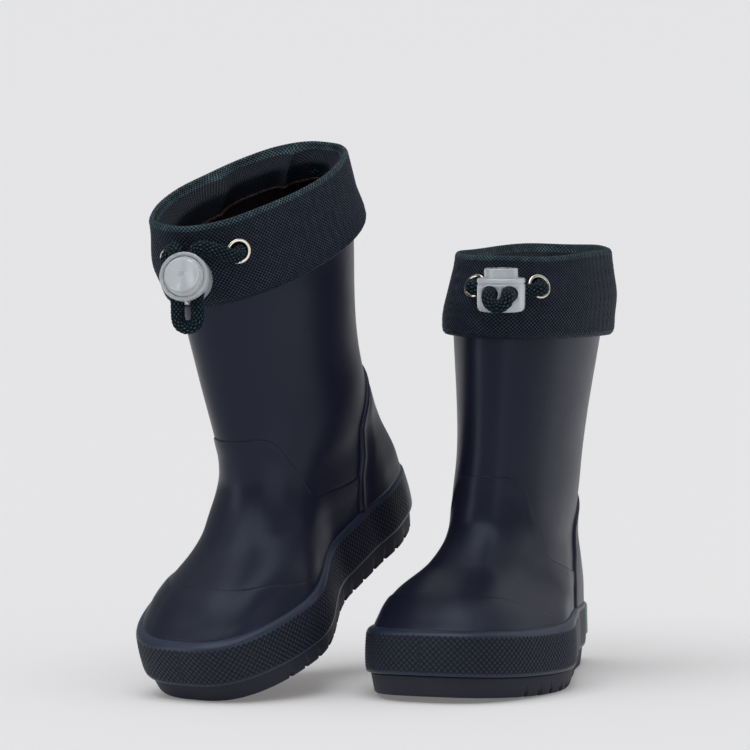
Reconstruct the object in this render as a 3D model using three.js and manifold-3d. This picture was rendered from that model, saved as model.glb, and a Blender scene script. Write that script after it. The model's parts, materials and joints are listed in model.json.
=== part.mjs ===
// A pair of children's deck boots: moulded rubber boots with a woven mesh cuff, a drawcord and a cord lock.
// Millimetres, +Z up. The left boot stands flat with its toe towards -Y; the right boot stands beside it,
// tipped up on its toe. Each boot is built in its own frame: toe at -Y, heel at +Y, sole on Z = 0.
import * as THREE from "three";
import { mergeVertices } from "three/addons/utils/BufferGeometryUtils.js";
import Module from "manifold-3d";

const wasm = await Module();
wasm.setup();

// ---- Driving dimensions -----------------------------------------------------------------------------------

const GAP = 0.3; // clearance between neighbouring pieces
const AROUND = 32; // points round every closed outline

// Foot and leg of the rubber upper, in the boot's own frame
const TOE_Y = -86;
const HEEL_Y = 77.5;
const SOLE_TOP = 8.2; // top of the outsole
const UPPER_WALL = 2.2;
const SEAM_GAP = 0.25; // half the gap between foot and leg
const BALL_HALF = 37; // half width at the ball of the foot, inner side
const BALL_HALF_OUTER = 39.5; // and on the outer side
const HEEL_HALF = 21.5;
const HEEL_NECK_HALF = 21; // inner side, between the arch and the heel
const ARCH_HALF = 18.5; // inner side, under the arch
const WAIST_HALF_OUTER = 26.5;
const ANKLE_HALF = 22.8;
const LEG_HALF = 27.7; // half width of the leg at the top
const LEG_FRONT_Y = -16;
const LEG_BACK_Y = 87;
const LEG_TOP_Z = 145;
const PLAN_POWER = 0.68; // how square the foot's plan is; 1 is an ellipse
const TOE_SWING = 4.2; // how far the toe swings towards the other foot
const SWING_FROM_Y = 25; // where the swing starts
const SWING_LENGTH = 105;
const SWING_POWER = 1.4;
const FOOT_BLEND_Z = 28; // the foot's plan fades into the leg's above this
const FOOT_BLEND_HEIGHT = 55;
const ANKLE_Z = 66;
const ANKLE_SPREAD = 22;
const ANKLE_LEAN = 2.2; // how far the ankle leans towards the other foot
const ANKLE_NARROWING = 0.7; // taken off each side at its back
const INSTEP_FALL = 0.34; // how much lower the outer side of the instep is, as a share of its width
const INSTEP_Y = -30; // where that is most
const INSTEP_Z = 44;
const INSTEP_SPREAD_Y = 40;
const INSTEP_SPREAD_Z = 11;
const TOE_SPRING = 2.1; // how far the toe lifts off the floor
const SPRING_FROM_Y = -25; // where the lift starts
const SPRING_LENGTH = 53;
const SPRING_FADE_Z = 16; // the lift fades out above this

// Front and back profile of the upper: [height, y]
const FRONT = [
  [0, TOE_Y + 2], [10, TOE_Y], [24, TOE_Y + 0.5], [31, TOE_Y + 7], [39, TOE_Y + 17], [50, -41.5],
  [67.5, -23], [84.5, -19.5], [109.5, -18.1], [LEG_TOP_Z, LEG_FRONT_Y],
];
const BACK = [
  [0, HEEL_Y - 2], [12, HEEL_Y], [34, HEEL_Y - 1.5], [52.4, 71], [70.7, 68.7], [LEG_TOP_Z, LEG_BACK_Y],
];
const HALF_WIDTH = [
  [0, BALL_HALF - 1], [15, BALL_HALF], [32, BALL_HALF - 1], [60, ANKLE_HALF + 2], [88, ANKLE_HALF],
  [LEG_TOP_Z, LEG_HALF],
];
// Width of the foot along its length, as a share of BALL_HALF: [share of the length from the toe, width]
const INNER_PLAN = [
  [0, 1.05], [0.27, 1], [0.6, ARCH_HALF / BALL_HALF], [0.74, ARCH_HALF / BALL_HALF],
  [0.86, HEEL_NECK_HALF / BALL_HALF], [1, HEEL_HALF / BALL_HALF],
];
const OUTER_PLAN = [
  [0, 1.12], [0.31, BALL_HALF_OUTER / BALL_HALF], [0.63, WAIST_HALF_OUTER / BALL_HALF],
  [0.82, HEEL_HALF / BALL_HALF], [1, HEEL_HALF / BALL_HALF],
];

// Sole unit
const OUTSOLE_OUT = 0.8; // how far the outsole stands out from the upper
const FOXING_OUT = 2.6; // and the rubber band round the foot
const FOXING_TOP = 26.5;
const LUG_PITCH = 9;
const LUG_GROOVE = 2.6;
const LUG_DEPTH = 2.2;
const FIRST_GROOVE_Y = -58;
const GROOVES = 15;
const FILLER_TOP = 13.5;
const INSOLE_TOP = 17.3;
const FILLER_INSET = UPPER_WALL + 0.5;
const INSOLE_INSET = UPPER_WALL + 0.8;
const LINING_OUTER = UPPER_WALL + 1.8; // depth of the lining's two faces below the outside
const LINING_INNER = UPPER_WALL + 2.4;

// The seam between foot and leg: [degrees from the front, height]
const ANKLE_SEAM = [
  [0, 85], [25, 84], [38, 80.5], [48, 70.5], [56, 63], [65, 56], [75, 50.5], [92, 46.5], [115, 42],
  [180, 40],
];
// Top edge of the toe cap: [degrees from the front, height]
const TOE_CAP_TOP = [[0, 42], [38, 39], [59, 33.5], [77, 28]];
const TOE_CAP_REACH = 77;
const TOE_CAP_OUT = 1;
const COUNTER_REACH = 64; // half the angle that the heel counter wraps
const COUNTER_SHOULDER = 60; // height where its front edges start to curve in
const COUNTER_TOP = 80;
const COUNTER_OUT = 2.2; // its two faces, out from the upper
const COUNTER_IN = 1.1;
const BADGE_Z = 18.5;
const BADGE_HALF_HEIGHT = 6.6;
const BADGE_TURN = 0.36; // radians from the back to its middle, towards the outer side
const BADGE_REACH = 0.33; // radians to either side of that
const BADGE_SQUARENESS = 4; // 2 is an ellipse
const BADGE_OUT = 1.5; // its two faces, out from the band
const BADGE_IN = 0.6;

// Cuff, cord and eyelets
const CUFF_BOTTOM = 140.2;
const CUFF_OUT = 4.5; // how far the cuff stands out from the leg
const CUFF_SLOPE = -2.6; // slope of its bottom edge, per 45 mm
const CUFF_CENTRE_Y = (LEG_FRONT_Y + LEG_BACK_Y) / 2;
const CUFF_SHIFT = 1.5; // how far its upper part lies towards the outer side
const CUFF_DIP_AT = 15; // degrees from the front to where its bottom edge hangs lowest
const CUFF_HALF_X = LEG_HALF + CUFF_OUT;
const CUFF_HALF_Y = (LEG_BACK_Y - LEG_FRONT_Y) / 2 + CUFF_OUT;
const LEG_TOP_SHARE = 0.19; // the leg ends inside the cuff, this share of the cuff up
// Section of the folded cloth, [share of the cuff's height, depth]: up the outside, over the rim, down the
// inside, then back under the fold
const CUFF_SECTION = [
  [0, 1], [0.07, 0], [0.5, -0.2], [0.92, 0], [1, 1], [1, 2.4], [0.93, 4.6], [0.82, 9.8], [0.27, 9.8],
  [0.27, 8.8], [0.8, 8.8], [0.89, 2], [0.78, 0.9], [0.5, 0.8], [0.08, 1.2], [0.05, 4], [0, 4],
];
const CORD_RADIUS = 2.7;
const CHANNEL_INSET = 5.3; // the cord's depth inside the cuff
const CHANNEL_HEIGHT = 0.6; // its height there, as a share of the cuff
const CHANNEL_END = 13; // degrees from each eyelet to where its channel starts
const CHANNEL_SEAM = 178.5; // the cord's two ends meet at the back, this many degrees from the front
const CHANNEL_STEPS = 7;
const EYELET_BEND = [[4.6, -5.75], [1.4, -4.3], [0, -1.4], [0, 1.5]]; // cord's way out: along, outward
const EYELET_HOLE = 3.8; // radii
const EYELET_BARREL = 4.1;
const EYELET_FLANGE = 4.8;
const EYELET_STANDOFF = 0.37; // from the middle of the cuff's hole to the flange
const EYELET_DEPTH = -2;
const CUFF_HOLE = 4.5;

// Cord lock: its own frame has the button along +Z and the cord leaving along -Y
const BARREL_RADIUS = 9.7;
const BARREL_BOTTOM = -7.6;
const BARREL_TOP = 6.2;
const BORE_RADIUS = 8.2;
const BORE_FLOOR = -6.6;
const CORD_SPACING = 3.9; // each run of cord is this far from the lock's middle
const CORD_WINDOW = 3.4; // radius of the holes in the barrel
const STEM_RADIUS = 8;
const STEM_BOTTOM = -4.2;
const STEM_TOP = 5.6;
const STEM_WINDOW = 3.2;
const BUTTON_RADIUS = 6.8;
const BUTTON_TOP = 10.1;
const BUTTON_TRAVEL = 2;
const SPRING_WIRE = 0.18;
const SPRING_TURNS = 2.5;
const SPRING_RADIUS = 6.6; // at its lower end
const SPRING_TAPER = 3.4;

// What differs between the two boots. side is where the inner side of the foot is: +1 at +X, -1 at -X.
// The cord's route is from one eyelet through the lock, round its loop and back to the other eyelet.
const LEFT = {
  name: "left",
  side: -1,
  rim: { halfX: 29.5, halfY: 52, shiftY: 3, slope: 0.1, top: 173.5, dip: 2.6 },
  eyelets: { medial: -13, lateral: 33.6 }, // degrees from the front, towards +X
  lock: { at: [10.1, -30.6, 159.6], button: [0, 0, 1], exit: [0.233, -0.973, 0] },
  loop: [[3.9, 13, 0], [3.8, 15.6, -0.9], [3, 17.3, -2.8], [0, 18, -4.4], [-3, 17.3, -2.8],
    [-3.8, 15.6, -0.9], [-3.9, 13, 0]],
  intoLock: [[21.2, -11.1, 160.6], [20.2, -14.3, 160.4], [16.4, -16.8, 159.8], [13.3, -18.9, 159.6],
    [11.9, -21.2, 159.6]],
  outOfLock: [[4.2, -23.4, 159.6], [2.6, -22.2, 159.8], [-0.6, -23.2, 160.4], [-4.2, -23.2, 161],
    [-5.6, -20.8, 161.3]],
};
const RIGHT = {
  name: "right",
  side: 1,
  rim: { halfX: 30.7, halfY: 55, shiftY: 2, slope: -5.2, top: 172.2, dip: -1.3 },
  eyelets: { medial: 40.5, lateral: -6.7 },
  lock: { at: [9.5, -30, 162.6], button: [0.41, -0.733, 0.543], exit: [0.154, -0.512, -0.847] },
  loop: [[3.9, 15.5, 0], [3.4, 17.5, 0], [2, 18.9, 0], [0, 19.4, 0], [-2, 18.9, 0], [-3.4, 17.5, 0],
    [-3.9, 15.5, 0]],
  intoLock: [[21.4, -11, 163.5], [20.6, -14.4, 165.8], [17.7, -18.2, 169.7],
    [13.9, -21, 171.9], [12.1, -22.3, 171.4], [11.7, -23.7, 169.8]],
  outOfLock: [[4.6, -27.1, 170.5], [3.8, -25.4, 171.9], [2.1, -23.6, 172.2], [-0.2, -22.2, 170.7],
    [-2.2, -23, 168.5], [-3.5, -23, 166.4]],
};

// How the right boot stands: tipped about a line across the toe, then turned and set beside the left one
const RIGHT_TIP = 0.404;
const RIGHT_TURN = -0.257;
const RIGHT_PIVOT_Y = -50;
const RIGHT_AT = [-88.4, -72.5, 10.91];

// ---- Small maths ------------------------------------------------------------------------------------------

const radians = THREE.MathUtils.degToRad;
const clamp = THREE.MathUtils.clamp;
const smooth = (x) => clamp(x, 0, 1) ** 2 * (3 - 2 * clamp(x, 0, 1));

// A smooth curve through [x, y] points that never overshoots them
function curveAt(points, at) {
  const x = clamp(at, points[0][0], points.at(-1)[0]);
  const slopes = points.slice(1).map((p, i) => (p[1] - points[i][1]) / (p[0] - points[i][0]));
  const tangent = points.map((_, i) => {
    const before = slopes[Math.max(i - 1, 0)];
    const after = slopes[Math.min(i, slopes.length - 1)];
    return before * after <= 0 ? 0 : (2 * before * after) / (before + after);
  });
  const i = Math.max(0, Math.min(points.length - 2, points.findIndex((p) => p[0] >= x) - 1));
  const [x0, y0] = points[i];
  const [x1, y1] = points[i + 1];
  const t = (x - x0) / (x1 - x0);
  const rise = (x1 - x0) * (t * (1 - t) ** 2 * tangent[i] - t * t * (1 - t) * tangent[i + 1]);
  return y0 + (y1 - y0) * smooth(t) + rise;
}

// ---- Closed meshes from rings and grids of points ---------------------------------------------------------

// One closed body from points and triangles, turned so that its faces point out
function closedBody(points, triangles) {
  const geometry = new THREE.BufferGeometry();
  geometry.setAttribute("position", new THREE.Float32BufferAttribute(points.flat(), 3));
  let volume = 0;
  for (const [a, b, c] of triangles) {
    const [p, q, r] = [points[a], points[b], points[c]].map((v) => new THREE.Vector3(...v));
    volume += p.dot(q.cross(r));
  }
  geometry.setIndex(triangles.flatMap(([a, b, c]) => (volume < 0 ? [a, c, b] : [a, b, c])));
  return geometry;
}

// Joins each ring of points to the next, as triangles
function ringTriangles(rows, count, wrap) {
  const triangles = [];
  for (let k = 0; k < (wrap ? rows : rows - 1); k += 1) {
    for (let i = 0; i < count; i += 1) {
      const [a, b] = [k * count + i, k * count + ((i + 1) % count)];
      const [c, d] = [((k + 1) % rows) * count + i, ((k + 1) % rows) * count + ((i + 1) % count)];
      triangles.push([a, b, d], [a, d, c]);
    }
  }
  return triangles;
}

// A closed tube of rings, the last joined to the first: the rings go round the wall of a hollow piece
function hollow(rings) {
  return closedBody(rings.flat(), ringTriangles(rings.length, rings[0].length, true));
}

// A solid of rings from bottom to top, its ends closed by strips across from one side to the other
function solid(rings) {
  const count = rings[0].length;
  const triangles = ringTriangles(rings.length, count, false);
  const last = (rings.length - 1) * count;
  for (let i = 0; i < count / 2; i += 1) {
    const [a, b] = [i, i + 1];
    const [c, d] = [(count - i) % count, count - i - 1];
    for (const end of [[a, c, d], [a, d, b]]) {
      triangles.push(end, end.toReversed().map((v) => last + v));
    }
  }
  return closedBody(rings.flat(), triangles.filter((t) => new Set(t).size === 3));
}

// A curved plate between an outer and an inner grid of points, outer[row][column]
function plate(outer, inner) {
  const [rows, columns] = [outer.length, outer[0].length];
  const size = rows * columns;
  const points = [...outer.flat(), ...inner.flat()];
  const triangles = [];
  const quad = (a, b, c, d) => triangles.push([a, b, c], [a, c, d]);
  const at = (r, c) => r * columns + c;
  for (let r = 0; r < rows - 1; r += 1) {
    for (let c = 0; c < columns - 1; c += 1) {
      quad(at(r, c), at(r, c + 1), at(r + 1, c + 1), at(r + 1, c));
      quad(size + at(r, c), size + at(r + 1, c), size + at(r + 1, c + 1), size + at(r, c + 1));
    }
    quad(at(r, 0), at(r + 1, 0), size + at(r + 1, 0), size + at(r, 0));
    const [low, high] = [at(r, columns - 1), at(r + 1, columns - 1)];
    quad(high, low, size + low, size + high);
  }
  for (let c = 0; c < columns - 1; c += 1) {
    quad(at(0, c + 1), at(0, c), size + at(0, c), size + at(0, c + 1));
    quad(at(rows - 1, c), at(rows - 1, c + 1), size + at(rows - 1, c + 1), size + at(rows - 1, c));
  }
  return closedBody(points, triangles);
}

// A ring turned about Z from a closed section of [radius, height] points
function turnedRing(section, steps) {
  const angles = [...Array(steps).keys()].map((i) => (2 * Math.PI * i) / steps);
  return hollow(section.map(([r, z]) => angles.map((a) => [r * Math.cos(a), r * Math.sin(a), z])));
}

// ---- Cutting ----------------------------------------------------------------------------------------------

function toManifold(geometry) {
  const bare = geometry.clone();
  bare.deleteAttribute("normal");
  bare.deleteAttribute("uv");
  const merged = mergeVertices(bare, 1e-4);
  return new wasm.Manifold(new wasm.Mesh({
    numProp: 3,
    vertProperties: new Float32Array(merged.attributes.position.array),
    triVerts: new Uint32Array(merged.index.array),
  }));
}

function cut(geometry, tools) {
  let body = toManifold(geometry);
  for (const tool of tools) body = body.subtract(toManifold(tool));
  const mesh = body.getMesh();
  const result = new THREE.BufferGeometry();
  result.setAttribute("position", new THREE.BufferAttribute(new Float32Array(mesh.vertProperties), 3));
  result.setIndex(new THREE.BufferAttribute(new Uint32Array(mesh.triVerts), 1));
  return result;
}

// ---- The shape of the boot --------------------------------------------------------------------------------

// How far the toe spring lifts the underside at this y
const toeLift = (y) => TOE_SPRING * clamp((SPRING_FROM_Y - y) / SPRING_LENGTH, 0, 2) ** 2;

// A point of the boot's outside at an angle from the front and a height, moved out level by out
function outline(side, angle, z, out = 0) {
  const front = curveAt(FRONT, z) - out;
  const back = curveAt(BACK, z) + out;
  const ankle = Math.exp(-(((z - ANKLE_Z) / ANKLE_SPREAD) ** 2));
  const half = curveAt(HALF_WIDTH, z) + out - (ANKLE_NARROWING * ankle * (1 - Math.cos(angle))) / 2;
  const foot = 1 - smooth((z - FOOT_BLEND_Z) / FOOT_BLEND_HEIGHT); // 1 in the foot, 0 in the leg
  const power = 1 - (1 - PLAN_POWER) * foot;
  const y = (front + back) / 2 - ((back - front) / 2) * Math.cos(angle);
  const across = Math.sin(angle);
  const instep = ((z - INSTEP_Z) / INSTEP_SPREAD_Z) ** 2 + ((y - INSTEP_Y) / INSTEP_SPREAD_Y) ** 2;
  const fall = INSTEP_FALL * Math.exp(-instep);
  const plan = curveAt(across > 0 ? INNER_PLAN : OUTER_PLAN, (y - TOE_Y) / (HEEL_Y - TOE_Y));
  const share = foot * plan * (across > 0 ? 1 : 1 - fall) + 1 - foot;
  const swing = TOE_SWING * foot * clamp((SWING_FROM_Y - y) / SWING_LENGTH, 0, 1.2) ** SWING_POWER;
  const lean = ANKLE_LEAN * ankle * (0.7 + 0.3 * Math.cos(angle));
  const x = Math.sign(across) * Math.abs(across) ** power * half * share + swing + lean;
  return [side * x, y, z + toeLift(y) * (1 - smooth((z - SPRING_FADE_Z) / FOOT_BLEND_HEIGHT))];
}

// The same point moved out square to the surface
function skin(side, angle, z, out) {
  const step = 0.02;
  const [p, q, r, s] = [[step, 0], [-step, 0], [0, 1], [0, -1]].map(
    ([a, h]) => new THREE.Vector3(...outline(side, angle + a, z + h * 0.5)),
  );
  const normal = p.sub(q).cross(r.sub(s)).normalize().multiplyScalar(side);
  return new THREE.Vector3(...outline(side, angle, z)).addScaledVector(normal, out).toArray();
}

const ANGLES = [...Array(AROUND).keys()].map((i) => (2 * Math.PI * i) / AROUND);
// An angle as degrees from the front, 0 to 180 on either side
const fromFront = (angle) => THREE.MathUtils.radToDeg(Math.min(angle, 2 * Math.PI - angle));
const seamAt = (angle) => curveAt(ANKLE_SEAM, fromFront(angle));

// ---- Sole unit --------------------------------------------------------------------------------------------

function outsole(side) {
  const rings = [[0, -0.2], [1, OUTSOLE_OUT], [SOLE_TOP, OUTSOLE_OUT]].map(
    ([z, out]) => ANGLES.map((a) => outline(side, a, z, out)),
  );
  const grooves = [...Array(GROOVES).keys()].map((i) => {
    const y = FIRST_GROOVE_Y + i * LUG_PITCH;
    const groove = new THREE.BoxGeometry(120, LUG_GROOVE, LUG_DEPTH * 2);
    return groove.translate(0, y, toeLift(y));
  });
  return cut(solid(rings), grooves);
}

// Heights of the rings where the band and the upper lie against each other
const BAND_LEVELS = [SOLE_TOP + GAP, 14, 20, FOXING_TOP];

// The band round the foot: upright outside, with a narrow bevel along its top
function foxingBand(side) {
  const section = [
    [BAND_LEVELS[0], FOXING_OUT], [17, FOXING_OUT + 0.2], [FOXING_TOP - 1, FOXING_OUT],
    [FOXING_TOP, FOXING_OUT - 0.8], ...BAND_LEVELS.toReversed().map((z) => [z, GAP]),
  ];
  return hollow(section.map(([z, out]) => ANGLES.map((a) => outline(side, a, z, out))));
}

// The foam board and the footbed lie inside the upper, one on the other
function footLayer(side, bottom, top, inset) {
  return solid([bottom, top].map((z) => ANGLES.map((a) => skin(side, a, z, -inset))));
}

// ---- Upper ------------------------------------------------------------------------------------------------

// A wall through rings whose heights depend on the angle, from one depth below the outside to another
function wall(side, heights, outer, inner) {
  const ring = (height, out) => ANGLES.map((a) => skin(side, a, height(a), out));
  const back = heights.toReversed();
  return hollow([...heights.map((h) => ring(h, outer)), ...back.map((h) => ring(h, inner))]);
}

// Heights at shares of the way between two edges
const between = (low, high, shares) =>
  shares.map((share) => (angle) => low(angle) + (high(angle) - low(angle)) * share);
const legTop = (boot) => (angle) => cuffPoint(boot, boot.side * angle, LEG_TOP_SHARE, 0)[2];

// Foot, leg and lining have their rings at the same heights, so that they nest
function footHeights() {
  const inBand = BAND_LEVELS.slice(0, 3).map((z) => () => z);
  const shares = [0, 0.1, 0.2, 0.32, 0.5, 0.75, 1];
  return [...inBand, ...between(() => FOXING_TOP, (a) => seamAt(a) - SEAM_GAP, shares)];
}

function legHeights(boot) {
  return between((a) => seamAt(a) + SEAM_GAP, legTop(boot), [0, 0.12, 0.25, 0.37, 0.5, 0.75, 1]);
}

function lining(boot) {
  const foot = [() => INSOLE_TOP + 1, ...footHeights().filter((_, i) => i >= 5 && i <= 8)];
  const heights = [...foot, seamAt, ...legHeights(boot).filter((_, i) => [1, 2, 3, 4, 6].includes(i))];
  return wall(boot.side, heights, -LINING_OUTER, -LINING_INNER);
}

// The counter wraps the heel from the band up to a rounded top
function heelCounter(side) {
  const reachAt = (z) => {
    const s = clamp((z - COUNTER_SHOULDER) / (COUNTER_TOP - COUNTER_SHOULDER), 0, 0.985);
    return radians(COUNTER_REACH) * (1 - s ** 1.5) ** 0.8;
  };
  const heights = [FOXING_TOP + GAP, 34, 42, 51, COUNTER_SHOULDER, 68, 75, COUNTER_TOP];
  const grid = (out) => heights.map((z) => [...Array(13).keys()].map(
    (i) => skin(side, Math.PI + reachAt(z) * (i / 6 - 1), z, out),
  ));
  return plate(grid(COUNTER_OUT), grid(COUNTER_IN));
}

function toeCap(side) {
  const columns = [...Array(15).keys()].map((i) => (i / 7 - 1) * TOE_CAP_REACH);
  const grid = (out) => [0, 0.4, 0.7, 1].map((share) => columns.map((degrees) => {
    const low = FOXING_TOP + GAP;
    const z = low + (curveAt(TOE_CAP_TOP, Math.abs(degrees)) - low) * share;
    return skin(side, radians(degrees), z, out);
  }));
  return plate(grid(TOE_CAP_OUT), grid(GAP));
}

// A blank plate with rounded corners on the band, behind the heel and towards the outer side
function heelBadge(side) {
  const rows = [-0.99, -0.9, -0.5, 0, 0.5, 0.9, 0.99];
  const grid = (out) => rows.map((v) => [...Array(17).keys()].map((i) => {
    const u = (i / 8 - 1) * (1 - Math.abs(v) ** BADGE_SQUARENESS) ** (1 / BADGE_SQUARENESS);
    const angle = Math.PI + BADGE_TURN + BADGE_REACH * u;
    return outline(side, angle, BADGE_Z + BADGE_HALF_HEIGHT * v, FOXING_OUT + out);
  }));
  return plate(grid(BADGE_OUT), grid(BADGE_IN));
}

// ---- Cuff, eyelets and cord -------------------------------------------------------------------------------

// A point of the cuff: angle from the front towards +X, height as a share of the cuff, depth inside it
function cuffPoint(boot, angle, height, inset) {
  const { halfX, halfY, shiftY, slope, top, dip } = boot.rim;
  const blend = smooth((height - 0.3) / 0.7);
  const x = (CUFF_HALF_X + (halfX - CUFF_HALF_X) * blend - inset) * Math.sin(angle);
  const y = -(CUFF_HALF_Y + (halfY - CUFF_HALF_Y) * blend - inset) * Math.cos(angle);
  const tilt = (CUFF_SLOPE + (slope - CUFF_SLOPE) * height) / 45;
  const hang = dip * ((1 + Math.cos(angle - radians(CUFF_DIP_AT))) / 2) ** 2 * (1 - smooth(height / 0.5));
  const z = CUFF_BOTTOM + (top - CUFF_BOTTOM) * height + tilt * y - hang;
  const shift = boot.side * CUFF_SHIFT * smooth((height - 0.15) / 0.35);
  return [x - shift, y + CUFF_CENTRE_Y + shiftY * blend, z];
}

// Where an eyelet sits, with +Z of its frame pointing straight out of the cuff
function eyeletFrame(boot, degrees) {
  const angle = radians(degrees);
  const step = 0.1;
  const at = (a, h) => new THREE.Vector3(...cuffPoint(boot, angle + a, CHANNEL_HEIGHT + h, 0));
  const along = at(step, 0).sub(at(-step, 0)).normalize();
  const out = along.clone().cross(at(0, step).sub(at(0, -step))).normalize();
  const frame = new THREE.Matrix4().makeBasis(along, out.clone().cross(along), out);
  return frame.setPosition(at(0, 0));
}

function cuff(boot) {
  const rings = CUFF_SECTION.map(([height, inset]) => ANGLES.map((a) => cuffPoint(boot, a, height, inset)));
  const holes = Object.values(boot.eyelets).map((degrees) => {
    const hole = new THREE.CylinderGeometry(CUFF_HOLE, CUFF_HOLE, 7, 20).rotateX(Math.PI / 2);
    return hole.applyMatrix4(eyeletFrame(boot, degrees));
  });
  return cut(hollow(rings), holes);
}

function eyelet() {
  return turnedRing([
    [EYELET_HOLE, EYELET_DEPTH], [EYELET_BARREL, EYELET_DEPTH], [EYELET_BARREL, EYELET_STANDOFF],
    [EYELET_FLANGE + 0.3, EYELET_STANDOFF], [EYELET_FLANGE + 0.2, 0.7], [EYELET_FLANGE - 0.4, 1],
    [EYELET_HOLE + 0.2, 0.7],
  ], 20);
}

function washer() {
  const inner = EYELET_BARREL + 0.2;
  const [low, high] = [EYELET_DEPTH, EYELET_DEPTH + 0.3];
  return turnedRing([[inner, low], [inner + 0.6, low], [inner + 0.6, high], [inner, high]], 20);
}

// The lock's frame inside the boot's: +Z is the button, -Y is the way that the cord leaves
function lockFrame(boot) {
  const button = new THREE.Vector3(...boot.lock.button).normalize();
  const exit = new THREE.Vector3(...boot.lock.exit);
  exit.addScaledVector(button, -exit.dot(button)).normalize();
  const back = exit.clone().negate();
  return new THREE.Matrix4().makeBasis(back.clone().cross(button), back, button).setPosition(...boot.lock.at);
}

// The whole cord: round the back of the cuff in its channel, out of both eyelets and through the lock
function drawcord(boot) {
  const frame = lockFrame(boot);
  const inLock = (x, out, up) => new THREE.Vector3(x, -out, up).applyMatrix4(frame);
  // Through an eyelet from the channel: side is -1 where the channel comes from smaller angles
  const throughEyelet = (degrees, side) => EYELET_BEND.map(
    ([along, out]) => new THREE.Vector3(side * along, 0, out).applyMatrix4(eyeletFrame(boot, degrees)),
  );
  const channel = (degrees) =>
    new THREE.Vector3(...cuffPoint(boot, radians(degrees), CHANNEL_HEIGHT, CHANNEL_INSET));
  const free = (list) => list.map((p) => new THREE.Vector3(...p));
  const [low, high] = Object.values(boot.eyelets).toSorted((a, b) => a - b);
  const steps = [...Array(CHANNEL_STEPS).keys()].map((i) => i / (CHANNEL_STEPS - 1));
  const right = steps.map((share) => channel(CHANNEL_SEAM - (CHANNEL_SEAM - high - CHANNEL_END) * share));
  const left = steps.map((share) => channel(-CHANNEL_SEAM + (CHANNEL_SEAM + low - CHANNEL_END) * share));
  const through = [CORD_SPACING, -CORD_SPACING].map((x) => [-5, 2.5, 10].map((out) => inLock(x, out, 0)));
  const route = new THREE.CatmullRomCurve3([
    ...right, ...throughEyelet(high, 1), ...free(boot.intoLock), ...through[0],
    ...boot.loop.map((p) => inLock(...p)), ...through[1].toReversed(), ...free(boot.outOfLock),
    ...throughEyelet(low, -1).toReversed(), ...left.toReversed(),
  ]);
  const circle = new THREE.EllipseCurve(0, 0, CORD_RADIUS, CORD_RADIUS);
  const section = new THREE.Shape(circle.getPoints(8).slice(0, 8));
  route.getUtoTmapping = (share) => share; // evenly between the points, so that the bends get more steps
  return new THREE.ExtrudeGeometry(section, { steps: 80, extrudePath: route });
}

// ---- Cord lock --------------------------------------------------------------------------------------------

// Two runs of cord side by side, as tools that cut right through along Y; tall lengthens the holes upwards
function cordWindows(radius, tall) {
  return [-CORD_SPACING, CORD_SPACING].map((x) => {
    const shape = new THREE.Shape();
    shape.absarc(x, 0, radius, Math.PI, 2 * Math.PI);
    shape.absarc(x, tall, radius, 0, Math.PI);
    const tool = new THREE.ExtrudeGeometry(shape, { depth: 24, bevelEnabled: false, curveSegments: 8 });
    return tool.rotateX(Math.PI / 2).translate(0, 12, 0);
  });
}

function turned(profile, steps) {
  const points = profile.map(([r, z]) => new THREE.Vector2(r, z));
  return new THREE.LatheGeometry(points, steps).rotateX(Math.PI / 2);
}

function lockBarrel() {
  const blank = turned([
    [0, BARREL_BOTTOM], [BARREL_RADIUS - 1.6, BARREL_BOTTOM], [BARREL_RADIUS - 0.5, BARREL_BOTTOM + 0.5],
    [BARREL_RADIUS, BARREL_BOTTOM + 1.6], [BARREL_RADIUS, BARREL_TOP - 0.5],
    [BARREL_RADIUS - 0.5, BARREL_TOP], [BORE_RADIUS, BARREL_TOP], [BORE_RADIUS, BORE_FLOOR], [0, BORE_FLOOR],
  ], 28);
  return cut(blank, cordWindows(CORD_WINDOW, 0));
}

function lockPlunger() {
  const blank = turned([
    [0, STEM_BOTTOM], [STEM_RADIUS, STEM_BOTTOM], [STEM_RADIUS, STEM_TOP], [BUTTON_RADIUS, STEM_TOP],
    [BUTTON_RADIUS, BUTTON_TOP - 0.8], [BUTTON_RADIUS - 0.8, BUTTON_TOP], [0, BUTTON_TOP],
  ], 24);
  return cut(blank, cordWindows(STEM_WINDOW, BUTTON_TRAVEL));
}

// A cone of wire, so that its turns lie inside each other when the button is pressed
function lockSpring() {
  const points = [...Array(SPRING_TURNS * 10 + 1).keys()].map((i) => {
    const share = i / (SPRING_TURNS * 10);
    const a = 2 * Math.PI * SPRING_TURNS * share;
    const radius = SPRING_RADIUS - SPRING_TAPER * share;
    const z = BORE_FLOOR + 0.4 + (STEM_BOTTOM - BORE_FLOOR - 0.8) * share;
    return new THREE.Vector3(radius * Math.cos(a), radius * Math.sin(a), z);
  });
  const circle = new THREE.EllipseCurve(0, 0, SPRING_WIRE, SPRING_WIRE);
  const wire = new THREE.Shape(circle.getPoints(5).slice(0, 5));
  return new THREE.ExtrudeGeometry(wire, { steps: 30, extrudePath: new THREE.CatmullRomCurve3(points) });
}

// ---- Materials --------------------------------------------------------------------------------------------

const material = (color, roughness, metalness = 0, rest = {}) =>
  new THREE.MeshStandardMaterial({ color, roughness, metalness, ...rest });
const RUBBER = material(0x262a38, 0.5);
const BAND = material(0x20232e, 0.6);
const SOLE = material(0x2f2d38, 0.65);
const FOAM = material(0x8c8f96, 0.9);
const CLOTH = material(0x3a2226, 0.95);
const MESH = material(0x1b2433, 0.85);
const CORD = material(0x12303a, 0.8);
const NICKEL = material(0xc9c6bf, 0.25, 1);
const CLEAR = material(0xd5dde2, 0.35, 0, { transparent: true, opacity: 0.6 });
const STEEL = material(0xb5b8bb, 0.35, 1);
const BADGE = material(0x9fb3b5, 0.6);

// ---- Assembly ---------------------------------------------------------------------------------------------

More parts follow.
